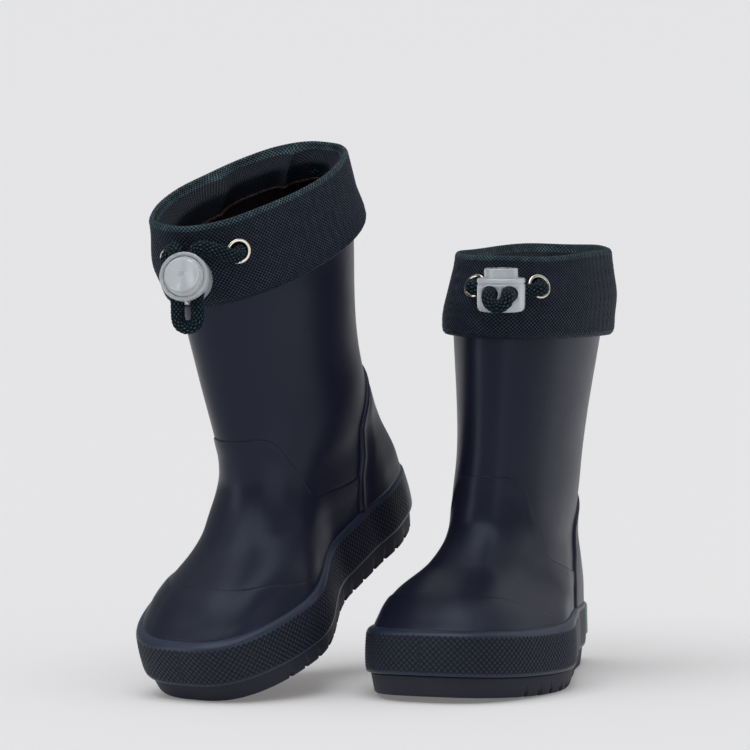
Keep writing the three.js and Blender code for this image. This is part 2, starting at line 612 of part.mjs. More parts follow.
function buildBoot(boot) {
  const group = new THREE.Group();
  const { name, side } = boot;
  const add = (piece, geometry, look, parent = group) => {
    const mesh = new THREE.Mesh(geometry, look);
    mesh.name = `${name}_${piece}`;
    parent.add(mesh);
  };
  add("outsole", outsole(side), SOLE);
  add("foxing_band", foxingBand(side), BAND);
  add("midsole_filler", footLayer(side, SOLE_TOP + GAP, FILLER_TOP, FILLER_INSET), FOAM);
  add("insole", footLayer(side, FILLER_TOP + GAP, INSOLE_TOP, INSOLE_INSET), CLOTH);
  add("vamp", wall(side, footHeights(), 0, -UPPER_WALL), RUBBER);
  add("shaft", wall(side, legHeights(boot), 0, -UPPER_WALL), RUBBER);
  add("heel_counter", heelCounter(side), RUBBER);
  add("toe_cap", toeCap(side), RUBBER);
  add("heel_badge", heelBadge(side), BADGE);
  add("lining", lining(boot), CLOTH);
  add("cuff", cuff(boot), MESH);
  for (const [place, degrees] of Object.entries(boot.eyelets)) {
    const seat = new THREE.Group();
    seat.applyMatrix4(eyeletFrame(boot, degrees));
    group.add(seat);
    add(`eyelet_${place}`, eyelet(), NICKEL, seat);
    add(`washer_${place}`, washer(), NICKEL, seat);
  }
  add("drawcord", drawcord(boot), CORD);
  const lock = new THREE.Group();
  lock.applyMatrix4(lockFrame(boot));
  group.add(lock);
  add("lock_barrel", lockBarrel(), CLEAR, lock);
  add("lock_plunger", lockPlunger(), CLEAR, lock);
  add("lock_spring", lockSpring(), STEEL, lock);
  return group;
}

const rightBoot = buildBoot(RIGHT);
rightBoot.position.y = -RIGHT_PIVOT_Y;
const tipped = new THREE.Group();
tipped.add(rightBoot);
tipped.rotation.x = RIGHT_TIP;
const placed = new THREE.Group();
placed.add(tipped);
placed.position.set(...RIGHT_AT);
placed.rotation.z = RIGHT_TURN;

const pair = new THREE.Group();
pair.add(buildBoot(LEFT), placed);

// Origin in the middle of the pair's footprint, on the floor
pair.updateMatrixWorld(true);
const box = new THREE.Box3().setFromObject(pair, true);
pair.position.set(-(box.min.x + box.max.x) / 2, -(box.min.y + box.max.y) / 2, -box.min.z);

export default pair;
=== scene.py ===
"""A pair of children's deck boots: satin rubber uppers, knurled rubber bands, woven mesh cuffs, and a
drawcord with a push-button cord lock on each. The left boot stands flat; the right is tipped on its toe."""

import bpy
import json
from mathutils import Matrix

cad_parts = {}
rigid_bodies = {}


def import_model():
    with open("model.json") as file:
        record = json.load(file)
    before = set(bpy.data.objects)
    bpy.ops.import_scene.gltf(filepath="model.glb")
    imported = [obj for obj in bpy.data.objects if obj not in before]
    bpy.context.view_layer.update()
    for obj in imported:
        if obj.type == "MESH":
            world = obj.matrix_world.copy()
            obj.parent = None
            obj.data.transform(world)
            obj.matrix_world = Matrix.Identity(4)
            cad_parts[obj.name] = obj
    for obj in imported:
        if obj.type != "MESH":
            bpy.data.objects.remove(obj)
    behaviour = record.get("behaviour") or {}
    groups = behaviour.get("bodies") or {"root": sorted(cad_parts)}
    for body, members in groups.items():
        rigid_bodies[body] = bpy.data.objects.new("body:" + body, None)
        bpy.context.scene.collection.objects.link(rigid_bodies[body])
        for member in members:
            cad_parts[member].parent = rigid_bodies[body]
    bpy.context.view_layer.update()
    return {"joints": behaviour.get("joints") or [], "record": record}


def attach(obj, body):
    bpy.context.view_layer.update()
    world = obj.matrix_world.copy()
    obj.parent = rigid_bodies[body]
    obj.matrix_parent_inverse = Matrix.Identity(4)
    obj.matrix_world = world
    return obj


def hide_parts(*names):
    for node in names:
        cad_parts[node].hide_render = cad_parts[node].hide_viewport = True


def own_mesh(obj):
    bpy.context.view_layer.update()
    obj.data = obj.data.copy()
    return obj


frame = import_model()

import json
import math

import bmesh
import bpy
import numpy as np
from mathutils import Matrix, Vector

MM = 0.001

# ---- Where the boots stand ---------------------------------------------------------------------------------
# Each boot is made in millimetres in its own frame, as in the CAD: toe at -Y, heel at +Y, sole on Z = 0.

MOUNT_Y = 55.8  # the mount on the left heel, in the boot's frame
RIGHT_TIP = 0.404  # the right boot is tipped up on its toe
RIGHT_HINGE_Y = -77.754  # and rocks about this line across its sole

mount = frame["record"]["mounts"][0]["pos_m"]
hinge = next(j for j in frame["joints"] if j["name"] == "right_boot_rock")


def left_frame():
    return Matrix.Translation(Vector(mount) - Vector((0, MOUNT_Y * MM, 0)))


def right_frame():
    across = Vector(hinge["axis"]).normalized()
    flat = Vector((0, 0, 1)).cross(across)
    along = flat * math.cos(RIGHT_TIP) + Vector((0, 0, math.sin(RIGHT_TIP)))
    basis = Matrix((across, along, across.cross(along))).transposed().to_4x4()
    return Matrix.Translation(Vector(hinge["pos_m"]) - along * RIGHT_HINGE_Y * MM) @ basis


LEFT = {
    "name": "left", "side": -1, "frame": left_frame(), "seed": 3, "fullness": 0.35,
    "rim": {"half_x": 29.5, "half_y": 52, "shift_y": 3, "slope": 0.1, "top": 173.5, "dip": 2.6},
    "eyelets": {"medial": -13, "lateral": 33.6},
    "lock": {"at": (10.1, -30.6, 159.6), "button": (0, 0, 1), "exit": (0.233, -0.973, 0)},
    "loop": [(3.9, 13, 0), (3.8, 15.6, -0.9), (3, 17.3, -2.8), (0, 18, -4.4), (-3, 17.3, -2.8),
             (-3.8, 15.6, -0.9), (-3.9, 13, 0)],
    "into_lock": [(21.2, -11.1, 160.6), (20.2, -14.3, 160.4), (16.4, -16.8, 159.8), (13.3, -18.9, 159.6),
                  (11.9, -21.2, 159.6)],
    "out_of_lock": [(4.2, -23.4, 159.6), (2.6, -22.2, 159.8), (-0.6, -23.2, 160.4), (-4.2, -23.2, 161),
                    (-5.6, -20.8, 161.3)],
}
RIGHT = {
    "name": "right", "side": 1, "frame": right_frame(), "seed": 8, "fullness": 1.1,
    "rim": {"half_x": 30.7, "half_y": 55, "shift_y": 2, "slope": -5.2, "top": 172.2, "dip": -1.3},
    "eyelets": {"medial": 40.5, "lateral": -6.7},
    "lock": {"at": (9.5, -30, 162.6), "button": (0.41, -0.733, 0.543), "exit": (0.154, -0.512, -0.847)},
    "loop": [(3.9, 15.5, 0), (3.4, 17.5, 0), (2, 18.9, 0), (0, 19.4, 0), (-2, 18.9, 0), (-3.4, 17.5, 0),
             (-3.9, 15.5, 0)],
    "into_lock": [(21.4, -11, 163.5), (20.6, -14.4, 165.8), (17.7, -18.2, 169.7), (13.9, -21, 171.9),
                  (12.1, -22.3, 171.4), (11.7, -23.7, 169.8)],
    "out_of_lock": [(4.6, -27.1, 170.5), (3.8, -25.4, 171.9), (2.1, -23.6, 172.2), (-0.2, -22.2, 170.7),
                    (-2.2, -23, 168.5), (-3.5, -23, 166.4)],
}

# ---- Camera ------------------------------------------------------------------------------------------------
# A long lens, a little above the boots, looking at the left one a third of the way round from its toe

CAMERA_TURN = 0.3406
CAMERA_FROM_LEFT_BOOT = (-51.25, -2500, 303.74)
CAMERA_PITCH = 0.0716
LENS = 296.2


def make_camera():
    data = bpy.data.cameras.new("camera")
    data.lens = LENS
    data.sensor_width = 36
    data.clip_end = 100
    camera = bpy.data.objects.new("camera", data)
    bpy.context.collection.objects.link(camera)
    turn = Matrix.Rotation(CAMERA_TURN, 4, "Z")
    place = turn @ Matrix.Translation(Vector(CAMERA_FROM_LEFT_BOOT) * MM)
    camera.matrix_world = (Matrix.Translation(LEFT["frame"].translation) @ place
                           @ Matrix.Rotation(math.pi / 2 - CAMERA_PITCH, 4, "X"))
    bpy.context.scene.camera = camera


# ---- Small maths -------------------------------------------------------------------------------------------

def smooth(x):
    x = np.clip(x, 0, 1)
    return x * x * (3 - 2 * x)


def curve_at(points, at):
    """A smooth curve through (x, y) points that never overshoots them."""
    x, y = np.array(points, float).T
    at = np.clip(at, x[0], x[-1])
    slopes = np.diff(y) / np.diff(x)
    before, after = np.r_[slopes[0], slopes], np.r_[slopes, slopes[-1]]
    both = before * after
    tangent = np.where(both <= 0, 0, 2 * both / np.where(both <= 0, 1, before + after))
    i = np.clip(np.searchsorted(x, at, side="left") - 1, 0, len(x) - 2)
    width = x[i + 1] - x[i]
    t = (at - x[i]) / width
    rise = width * (t * (1 - t) ** 2 * tangent[i] - t * t * (1 - t) * tangent[i + 1])
    return y[i] + (y[i + 1] - y[i]) * smooth(t) + rise


# ---- Meshes ------------------------------------------------------------------------------------------------

def make_piece(boot, name, points, faces, material, uv=None, place=None, shade=True):
    """A mesh piece from millimetre points in the boot's frame, or in a frame inside it."""
    mesh = bpy.data.meshes.new(name)
    mesh.from_pydata(np.asarray(points, float).reshape(-1, 3) * MM, [], faces)
    mesh.transform(boot["frame"] @ place if place else boot["frame"])
    if uv is not None:
        layer = mesh.uv_layers.new(name="weave")
        loops = np.empty(len(mesh.loops), int)
        mesh.loops.foreach_get("vertex_index", loops)
        layer.data.foreach_set("uv", np.asarray(uv, float).reshape(-1, 2)[loops].ravel())
    if shade:
        mesh.shade_smooth()
    mesh.materials.append(material)
    piece = bpy.data.objects.new(f"{boot['name']}_{name}", mesh)
    bpy.context.collection.objects.link(piece)
    return piece


def face_out(piece):
    """Turns the faces of a closed piece outwards."""
    mesh = bmesh.new()
    mesh.from_mesh(piece.data)
    bmesh.ops.recalc_face_normals(mesh, faces=mesh.faces)
    mesh.to_mesh(piece.data)
    mesh.free()
    return piece


def quads(rows, columns, wrap_rows=False, wrap_columns=False):
    r = np.arange(rows if wrap_rows else rows - 1)[:, None]
    c = np.arange(columns if wrap_columns else columns - 1)[None, :]
    r2, c2 = (r + 1) % rows, (c + 1) % columns
    corners = [r * columns + c, r * columns + c2, r2 * columns + c2, r2 * columns + c]
    return np.stack(np.broadcast_arrays(*corners), -1).reshape(-1, 4)


def hollow(boot, name, rings, material, uv=None):
    """A wall from rings that go round its section, the last joined to the first."""
    rows, columns = rings.shape[:2]
    faces = quads(rows, columns, True, True).tolist()
    return face_out(make_piece(boot, name, rings, faces, material, uv))


def solid(boot, name, rings, material, place=None):
    """A solid from rings, its ends closed by a fan to their middles."""
    rows, columns = rings.shape[:2]
    faces = quads(rows, columns, False, True).tolist()
    points = np.concatenate([rings.reshape(-1, 3), rings[[0, -1]].mean(1)])
    n = rows * columns
    for c in range(columns):
        faces.append((n, (c + 1) % columns, c))
        faces.append((n + 1, n - columns + c, n - columns + (c + 1) % columns))
    return face_out(make_piece(boot, name, points, faces, material, place=place))


def plate(boot, name, outer, inner, material):
    """A curved plate between two grids of points."""
    rows, columns = outer.shape[:2]
    n = rows * columns
    top = quads(rows, columns)
    faces = top.tolist() + (top[:, ::-1] + n).tolist()
    grid = np.arange(n).reshape(rows, columns)
    edge = np.r_[grid[0, :-1], grid[:-1, -1], grid[-1, :0:-1], grid[:0:-1, 0]]
    for a, b in zip(edge, np.roll(edge, -1)):
        faces.append((int(b), int(a), int(a) + n, int(b) + n))
    points = np.concatenate([outer.reshape(-1, 3), inner.reshape(-1, 3)])
    return face_out(make_piece(boot, name, points, faces, material))


def angles(count):
    return np.arange(count) * 2 * math.pi / count


# ---- The shape of the boot, as in the CAD ------------------------------------------------------------------

TOE_Y, HEEL_Y = -86, 77.5
FOXING_OUT = 2.6  # how far the band stands out from the upper
LEG_FRONT_Y, LEG_BACK_Y, LEG_TOP_Z = -16, 87, 145
BALL_HALF, BALL_HALF_OUTER = 37, 39.5  # half widths: at the ball of the foot, inner and outer side
ARCH_HALF, WAIST_HALF_OUTER = 18.5, 26.5
HEEL_NECK_HALF, HEEL_HALF = 21, 21.5
ANKLE_HALF, LEG_HALF = 22.8, 27.7
PLAN_SQUARENESS = 0.32  # 0 is an ellipse
TOE_SWING = 4.2  # how far the toe swings towards the other foot
SWING_FROM_Y, SWING_LENGTH, SWING_POWER = 25, 105, 1.4
FOOT_BLEND_Z, FOOT_BLEND_HEIGHT = 28, 55  # where the foot's plan fades into the leg's
ANKLE_Z, ANKLE_SPREAD, ANKLE_LEAN, ANKLE_NARROWING = 66, 22, 2.2, 0.7
INSTEP_FALL = 0.34  # how much lower the outer side of the instep is
INSTEP_Y, INSTEP_SPREAD_Y, INSTEP_Z, INSTEP_SPREAD_Z = -30, 40, 44, 11
TOE_SPRING, SPRING_FROM_Y, SPRING_LENGTH, SPRING_FADE_Z = 2.1, -25, 53, 16
TOE_CAP_REACH = 77  # degrees from the front
COUNTER_REACH, COUNTER_SHOULDER, COUNTER_TOP = 64, 60, 80  # degrees from the back, heights
FIRST_GROOVE_Y, LUG_PITCH, GROOVES = -58, 9, 15
BADGE_TURN, BADGE_REACH = 0.36, 0.33  # radians from the back to its middle, and to either side of that
BADGE_Z, BADGE_HALF_HEIGHT = 18.5, 6.6
CUFF_BOTTOM, CUFF_SLOPE = 140.2, -2.6  # the slope is per 45 mm
CUFF_HALF_X, CUFF_HALF_Y, CUFF_CENTRE_Y = 32.2, 56, 35.5
CUFF_SHIFT = 1.5  # how far its upper part lies towards the outer side
CUFF_DIP_AT = 15  # degrees from the front to where its bottom edge hangs lowest
LEG_TOP_SHARE = 0.19  # the leg ends this share of the cuff up
CHANNEL_HEIGHT, CHANNEL_INSET = 0.6, 5.3  # where the cord runs in the cuff
FRONT = [(0, TOE_Y + 2), (10, TOE_Y), (24, TOE_Y + 0.5), (31, TOE_Y + 7), (39, TOE_Y + 17), (50, -41.5),
         (67.5, -23), (84.5, -19.5), (109.5, -18.1), (LEG_TOP_Z, LEG_FRONT_Y)]
BACK = [(0, HEEL_Y - 2), (12, HEEL_Y), (34, HEEL_Y - 1.5), (52.4, 71), (70.7, 68.7), (LEG_TOP_Z, LEG_BACK_Y)]
HALF_WIDTH = [(0, BALL_HALF - 1), (15, BALL_HALF), (32, BALL_HALF - 1), (60, ANKLE_HALF + 2),
              (88, ANKLE_HALF), (LEG_TOP_Z, LEG_HALF)]
INNER_PLAN = [(0, 1.05), (0.27, 1), (0.6, ARCH_HALF / BALL_HALF), (0.74, ARCH_HALF / BALL_HALF),
              (0.86, HEEL_NECK_HALF / BALL_HALF), (1, HEEL_HALF / BALL_HALF)]
OUTER_PLAN = [(0, 1.12), (0.31, BALL_HALF_OUTER / BALL_HALF), (0.63, WAIST_HALF_OUTER / BALL_HALF),
              (0.82, HEEL_HALF / BALL_HALF), (1, HEEL_HALF / BALL_HALF)]
ANKLE_SEAM = [(0, 85), (25, 84), (38, 80.5), (48, 70.5), (56, 63), (65, 56), (75, 50.5), (92, 46.5),
              (115, 42), (180, 40)]
TOE_CAP_TOP = [(0, 42), (38, 39), (59, 33.5), (77, 28)]


def toe_lift(y):
    return TOE_SPRING * np.clip((SPRING_FROM_Y - y) / SPRING_LENGTH, 0, 2) ** 2


def outline(side, angle, z, out=0.0):
    """Points of the boot's outside at angles from the front and heights, moved out level."""
    angle, z, out = np.broadcast_arrays(angle, z, out)
    front, back = curve_at(FRONT, z) - out, curve_at(BACK, z) + out
    half = curve_at(HALF_WIDTH, z) + out
    foot = 1 - smooth((z - FOOT_BLEND_Z) / FOOT_BLEND_HEIGHT)
    power = 1 - PLAN_SQUARENESS * foot
    ankle = np.exp(-((z - ANKLE_Z) / ANKLE_SPREAD) ** 2)
    half = half - ANKLE_NARROWING * ankle * (1 - np.cos(angle)) / 2
    y = (front + back) / 2 - (back - front) / 2 * np.cos(angle)
    across = np.sin(angle)
    along = (y - TOE_Y) / (HEEL_Y - TOE_Y)
    plan = np.where(across > 0, curve_at(INNER_PLAN, along), curve_at(OUTER_PLAN, along))
    low = INSTEP_FALL * np.exp(-((z - INSTEP_Z) / INSTEP_SPREAD_Z) ** 2
                               - ((y - INSTEP_Y) / INSTEP_SPREAD_Y) ** 2)
    plan = np.where(across > 0, plan, plan * (1 - low))
    swing = TOE_SWING * foot * np.clip((SWING_FROM_Y - y) / SWING_LENGTH, 0, 1.2) ** SWING_POWER
    swing = swing + ANKLE_LEAN * ankle * (0.7 + 0.3 * np.cos(angle))
    x = np.sign(across) * np.abs(across) ** power * half * (foot * plan + 1 - foot) + swing
    lift = toe_lift(y) * (1 - smooth((z - SPRING_FADE_Z) / FOOT_BLEND_HEIGHT))
    return np.stack([side * x, y, z + lift], -1)


def skin(side, angle, z, out=0.0):
    """The same points moved out square to the surface."""
    angle, z, out = np.broadcast_arrays(angle, z, out)
    around = outline(side, angle + 0.02, z) - outline(side, angle - 0.02, z)
    up = outline(side, angle, z + 0.5) - outline(side, angle, z - 0.5)
    normal = np.cross(around, up) * side
    normal /= np.linalg.norm(normal, axis=-1, keepdims=True)
    return outline(side, angle, z) + normal * out[..., None]


def from_front(angle):
    """Degrees from the front, 0 to 180 on either side."""
    return np.degrees(np.abs((angle + math.pi) % (2 * math.pi) - math.pi))


def cuff_point(boot, angle, height, inset=0.0):
    """Points of the cuff at angles from the front, shares of its height, and depths inside it."""
    rim = boot["rim"]
    angle, height, inset = np.broadcast_arrays(angle, height, inset)
    blend = smooth((height - 0.3) / 0.7)
    x = (CUFF_HALF_X + (rim["half_x"] - CUFF_HALF_X) * blend - inset) * np.sin(angle)
    y = -(CUFF_HALF_Y + (rim["half_y"] - CUFF_HALF_Y) * blend - inset) * np.cos(angle)
    tilt = (CUFF_SLOPE + (rim["slope"] - CUFF_SLOPE) * height) / 45
    hang = rim["dip"] * ((1 + np.cos(angle - math.radians(CUFF_DIP_AT))) / 2) ** 2
    hang = hang * (1 - smooth(height / 0.5))
    z = CUFF_BOTTOM + (rim["top"] - CUFF_BOTTOM) * height + tilt * y - hang
    x = x - boot["side"] * CUFF_SHIFT * smooth((height - 0.15) / 0.35)
    return np.stack([x, y + CUFF_CENTRE_Y + rim["shift_y"] * blend, z], -1)


def eyelet_frame(boot, degrees):
    """Where an eyelet sits, with +Z of its frame pointing out of the cuff."""
    angle, step = math.radians(degrees), 0.1

    def at(a, h):
        return Vector(cuff_point(boot, angle + a, CHANNEL_HEIGHT + h))

    along = (at(step, 0) - at(-step, 0)).normalized()
    out = along.cross(at(0, step) - at(0, -step)).normalized()
    basis = Matrix((along, out.cross(along), out)).transposed().to_4x4()
    return Matrix.Translation(at(0, 0)) @ basis


def lock_frame(boot):
    """The lock's frame: +Z is the button, and the cord leaves along -Y."""
    button = Vector(boot["lock"]["button"]).normalized()
    exit_way = Vector(boot["lock"]["exit"])
    exit_way = (exit_way - button * exit_way.dot(button)).normalized()
    basis = Matrix(((-exit_way).cross(button), -exit_way, button)).transposed().to_4x4()
    return Matrix.Translation(Vector(boot["lock"]["at"])) @ basis


def in_metres(matrix):
    """A frame given in millimetres, for pieces whose points are turned into metres first."""
    result = matrix.copy()
    result.translation *= MM
    return result


# ---- Materials ---------------------------------------------------------------------------------------------

class Look:
    """A procedural material built round one Principled shader."""

    def __init__(self, name, colour, roughness, metallic=0.0, **sockets):
        self.material = bpy.data.materials.new(name)
        self.material.use_nodes = True
        self.nodes = self.material.node_tree.nodes
        self.links = self.material.node_tree.links
        self.shader = self.nodes["Principled BSDF"]
        self.set(self.shader, **{"Base Color": (*colour, 1), "Roughness": roughness, "Metallic": metallic})
        self.set(self.shader, **sockets)

    @staticmethod
    def set(node, **sockets):
        for key, value in sockets.items():
            node.inputs[key.replace("_", " ")].default_value = value

    def add(self, kind, **settings):
        node = self.nodes.new(kind)
        for key, value in settings.items():
            setattr(node, key, value)
        return node

    def math(self, operation, a, b=0.0):
        node = self.add("ShaderNodeMath", operation=operation)
        for socket, value in zip(node.inputs, (a, b)):
            if isinstance(value, (int, float)):
                socket.default_value = value
            else:
                self.links.new(value, socket)
        return node.outputs[0]

    def noise(self, scale, detail=3.0, roughness=0.5):
        place = self.add("ShaderNodeTexCoord")
        node = self.add("ShaderNodeTexNoise")
        self.set(node, Scale=scale, Detail=detail, Roughness=roughness)
        self.links.new(place.outputs["Object"], node.inputs["Vector"])
        return node.outputs["Fac"]

    def ramp(self, value, *stops):
        """Colours or greys at places from 0 to 1."""
        node = self.add("ShaderNodeValToRGB")
        elements = node.color_ramp.elements
        while len(elements) < len(stops):
            elements.new(0.5)
        for element, (place, colour) in zip(elements, stops):
            element.position = place
            element.color = (*colour, 1) if hasattr(colour, "__len__") else (colour, colour, colour, 1)
        self.links.new(value, node.inputs["Fac"])
        return node.outputs["Color"]

    def drive(self, socket, value):
        self.links.new(value, self.shader.inputs[socket])

    def bump(self, height, distance, strength=1.0):
        node = self.add("ShaderNodeBump")
        self.set(node, Strength=strength, Distance=distance * MM)
        self.links.new(height, node.inputs["Height"])
        self.links.new(node.outputs["Normal"], self.shader.inputs["Normal"])

    def mix(self, factor, a, b):
        """A colour between two, by a factor; each may be a colour or a socket."""
        node = self.add("ShaderNodeMix", data_type="RGBA")
        for socket, value in ((node.inputs[0], factor), (node.inputs[6], a), (node.inputs[7], b)):
            if hasattr(value, "is_linked") or hasattr(value, "links"):
                self.links.new(value, socket)
            else:
                socket.default_value = (*value, 1) if hasattr(value, "__len__") else value
        return node.outputs[2]


def rubber(name, dark, light, roughness, grain=0.05):
    look = Look(name, dark, roughness, Specular_IOR_Level=0.28, Specular_Tint=(0.74, 0.87, 1, 1))
    cloud = look.noise(28, 4)
    look.drive("Base Color", look.ramp(cloud, (0.3, dark), (0.7, light)))
    smudge = look.noise(75, 5, 0.6)
    look.drive("Roughness", look.ramp(smudge, (0.3, roughness - 0.02), (0.7, roughness + 0.03)))
    look.bump(look.noise(1400, 2), grain)
    return look.material


def relief(name, low, high, painted_glint, rough_low, rough_high, level, grain, speckled):
    """A moulded or braided surface with painted shade in its hollows and a painted glint on its tops; the
    relief attribute is 0 in the hollows and 1 on top.
    """
    look = Look(name, high, rough_high, Specular_IOR_Level=level, Specular_Tint=(0.76, 0.88, 1, 1))
    height = look.add("ShaderNodeAttribute", attribute_name="relief").outputs["Fac"]
    speckle = look.math("MULTIPLY", look.math("SUBTRACT", look.noise(1500, 3), 0.5), speckled)
    raised = look.math("ADD", height, speckle)
    # Painted shade and highlight: the low colour darkens the hollows and the glint colour lightens the tops.
    look.drive("Base Color", look.ramp(raised, (0.25, low), (0.78, high), (1.0, painted_glint)))
    look.drive("Roughness", look.ramp(height, (0.1, rough_low), (0.8, rough_high)))
    look.bump(look.noise(2200, 2), grain)
    return look.material


def woven(name, thread, painted_glint, hole_shade):
    """The cuff's mesh cloth: staggered holes between threads, with painted shade in the holes and painted
    glints on the threads. The weave layer counts cells.
    """
    look = Look(name, thread, 0.5, Specular_IOR_Level=0.27, Specular_Tint=(0.72, 0.88, 1, 1))
    layer = look.add("ShaderNodeUVMap", uv_map="weave")
    parts = look.add("ShaderNodeSeparateXYZ")
    look.links.new(layer.outputs[0], parts.inputs[0])
    rising, falling = (look.math(way, parts.outputs[0], parts.outputs[1]) for way in ("ADD", "SUBTRACT"))
    rising, falling = (look.math("SINE", look.math("MULTIPLY", v, math.pi)) for v in (rising, falling))
    cell = look.math("ABSOLUTE", look.math("MULTIPLY", rising, falling))
    # Painted highlight: glints along the threads, in random patches.
    glint_on_threads = look.ramp(cell, (0.0, 1.0), (0.16, 0.0))
    # Painted shade: the holes between the threads are coloured dark.
    threads_and_hole_shade = look.ramp(cell, (0.08, thread), (0.48, hole_shade))
    glint_patches = look.ramp(look.noise(260, 3), (0.42, 0.12), (0.66, 0.75))
    look.drive("Base Color", look.mix(look.math("MULTIPLY", glint_on_threads, glint_patches), threads_and_hole_shade, painted_glint))
    look.drive("Roughness", look.ramp(cell, (0.1, 0.42), (0.6, 0.9)))
    look.bump(look.math("SUBTRACT", 1.0, cell), 0.3, 0.8)
    return look.material


def braid(name, dark, light):
    look = Look(name, dark, 0.8, Specular_IOR_Level=0.15, Sheen_Weight=0.04, Sheen_Roughness=0.4)
    look.drive("Base Color", look.ramp(look.noise(900, 3), (0.42, dark), (0.66, light)))
    look.bump(look.noise(2600, 2), 0.1)
    return look.material


def cloudy(name, colour, roughness, transmission):
    look = Look(name, colour, roughness, Transmission_Weight=transmission, IOR=1.46,
                Specular_IOR_Level=0.5, Coat_Weight=0.6, Coat_Roughness=0.08)
    haze = look.noise(120, 3)
    look.drive("Roughness", look.ramp(haze, (0.3, roughness - 0.06), (0.7, roughness + 0.1)))
    look.bump(look.noise(130, 2), 0.03)
    return look.material


def metal(name, colour, roughness):
    look = Look(name, colour, roughness, metallic=1.0)
    look.drive("Roughness", look.ramp(look.noise(600, 3), (0.3, roughness - 0.05), (0.7, roughness + 0.08)))
    look.bump(look.noise(900, 2), 0.01)
    return look.material


UPPER = rubber("upper_rubber", (0.0088, 0.0092, 0.022), (0.0098, 0.0102, 0.024), 0.36)
# Painted shade and highlight: the first colour darkens the knurl's hollows and the third is a painted glint
# on its tops.
BAND = relief("band_rubber", (0.001, 0.001, 0.003), (0.0095, 0.0105, 0.024), (0.02, 0.026, 0.05), 0.7, 0.36,
              0.36, 0.03, 0.5)
SOLE = rubber("sole_rubber", (0.020, 0.019, 0.031), (0.025, 0.024, 0.037), 0.6, 0.08)
BADGE = rubber("badge_rubber", (0.20, 0.30, 0.30), (0.26, 0.36, 0.36), 0.5)
FOAM = rubber("foam", (0.22, 0.23, 0.25), (0.28, 0.29, 0.31), 0.9, 0.3)
# The glint colour is a painted highlight on the threads and the hole colour is painted shade in the holes.
MESH_CLOTH = woven("cuff_mesh", (0.0175, 0.020, 0.046), (0.055, 0.085, 0.13), (0.001, 0.001, 0.002))
# A darker copy of the cuff cloth for its inside: painted shade.
SHADED_INNER_CLOTH = woven("cuff_inner_mesh_painted_shade", (0.010, 0.011, 0.021), (0.02, 0.03, 0.045), (0.0012, 0.0008, 0.0012))
# A lighter, tealer copy of the cuff cloth for the rim round its fold: painted highlight.
HIGHLIT_EDGE_CLOTH = woven("cuff_edge_painted_highlight", (0.028, 0.05, 0.07), (0.20, 0.36, 0.40), (0.005, 0.008, 0.012))
LINING = braid("lining_cloth", (0.006, 0.003, 0.005), (0.011, 0.005, 0.008))
HEM = braid("hem_thread", (0.02, 0.008, 0.010), (0.06, 0.034, 0.036))
# Painted shade and highlight: the first colour darkens the gaps between the cord's strands and the third is a
# painted glint on their tops.
CORD = relief("cord_braid", (0.0003, 0.0006, 0.001), (0.003, 0.0095, 0.014), (0.04, 0.10, 0.13), 0.95, 0.6,
              0.2, 0.12, 0.9)
NICKEL = metal("nickel", (0.78, 0.72, 0.62), 0.16)
STEEL = metal("spring_steel", (0.6, 0.6, 0.62), 0.3)
CLEAR = cloudy("clear_plastic", (0.92, 0.97, 1.0), 0.14, 0.62)
BUTTON = cloudy("clear_plastic_button", (0.92, 0.97, 1.0), 0.12, 0.55)

# ---- Rubber pieces -----------------------------------------------------------------------------------------

COLUMNS = 224  # round the vamp and the leg


def crowded(count):
    """Angles closer together at the toe and the heel, where the outline turns."""
    even = angles(count)
    return even - 0.35 * np.sin(2 * even)


def skin_rings(side, angle, levels):
    """Rings of skin at (height by angle, distance out by angle) pairs."""
    return np.stack([skin(side, angle, z, out) for z, out in levels])


def seam_step(angle):
    """How far the foot stands proud of the leg along the seam: it fades on the way down each side."""
    degrees = from_front(angle)
    return 0.12 + 0.33 * (1 - smooth((degrees - 40) / 12)) + 0.28 * smooth((degrees - 66) / 14)


def vamp(boot):
    angle = crowded(COLUMNS)
    seam = curve_at(ANKLE_SEAM, from_front(angle))
    step = seam_step(angle)
    levels = [(np.full_like(seam, z), 0) for z in (9, 15, 21)]
    for share in np.linspace(0, 1, 46):
        z = 25 + (seam - 1.2 - 25) * share
        levels.append((z, step * smooth((z - seam + 9) / 7)))
    levels += [(seam - 0.6, step), (seam - 0.25, step * 0.9), (seam - 0.05, step * 0.6), (seam, step * 0.1)]
    levels += [(seam, -1.8)] + [(9 + (seam - 9) * s, -2.2) for s in (0.9, 0.7, 0.5, 0.3, 0.1, 0)]
    return hollow(boot, "vamp_skin", skin_rings(boot["side"], angle, levels), UPPER)


def leg(boot):
    angle = crowded(COLUMNS)
    low = curve_at(ANKLE_SEAM, from_front(angle)) - 1.5
    high = cuff_point(boot, boot["side"] * angle, LEG_TOP_SHARE)[:, 2]
    levels = [(low + (high - low) * s, 0) for s in np.linspace(0, 1, 40)]
    levels += [(low + (high - low) * s, -2.0) for s in np.linspace(1, 0, 12)]
    return hollow(boot, "leg_skin", skin_rings(boot["side"], angle, levels), UPPER)


def lining(boot):
    angle = crowded(96)
    high = cuff_point(boot, boot["side"] * angle, 0.2)[:, 2]
    levels = [(18.5 + (high - 18.5) * s, -3.4) for s in np.linspace(0, 1, 24)]
    levels += [(18.5 + (high - 18.5) * s, -4.2) for s in np.linspace(1, 0, 24)]
    return hollow(boot, "lining_sock", skin_rings(boot["side"], angle, levels), LINING)


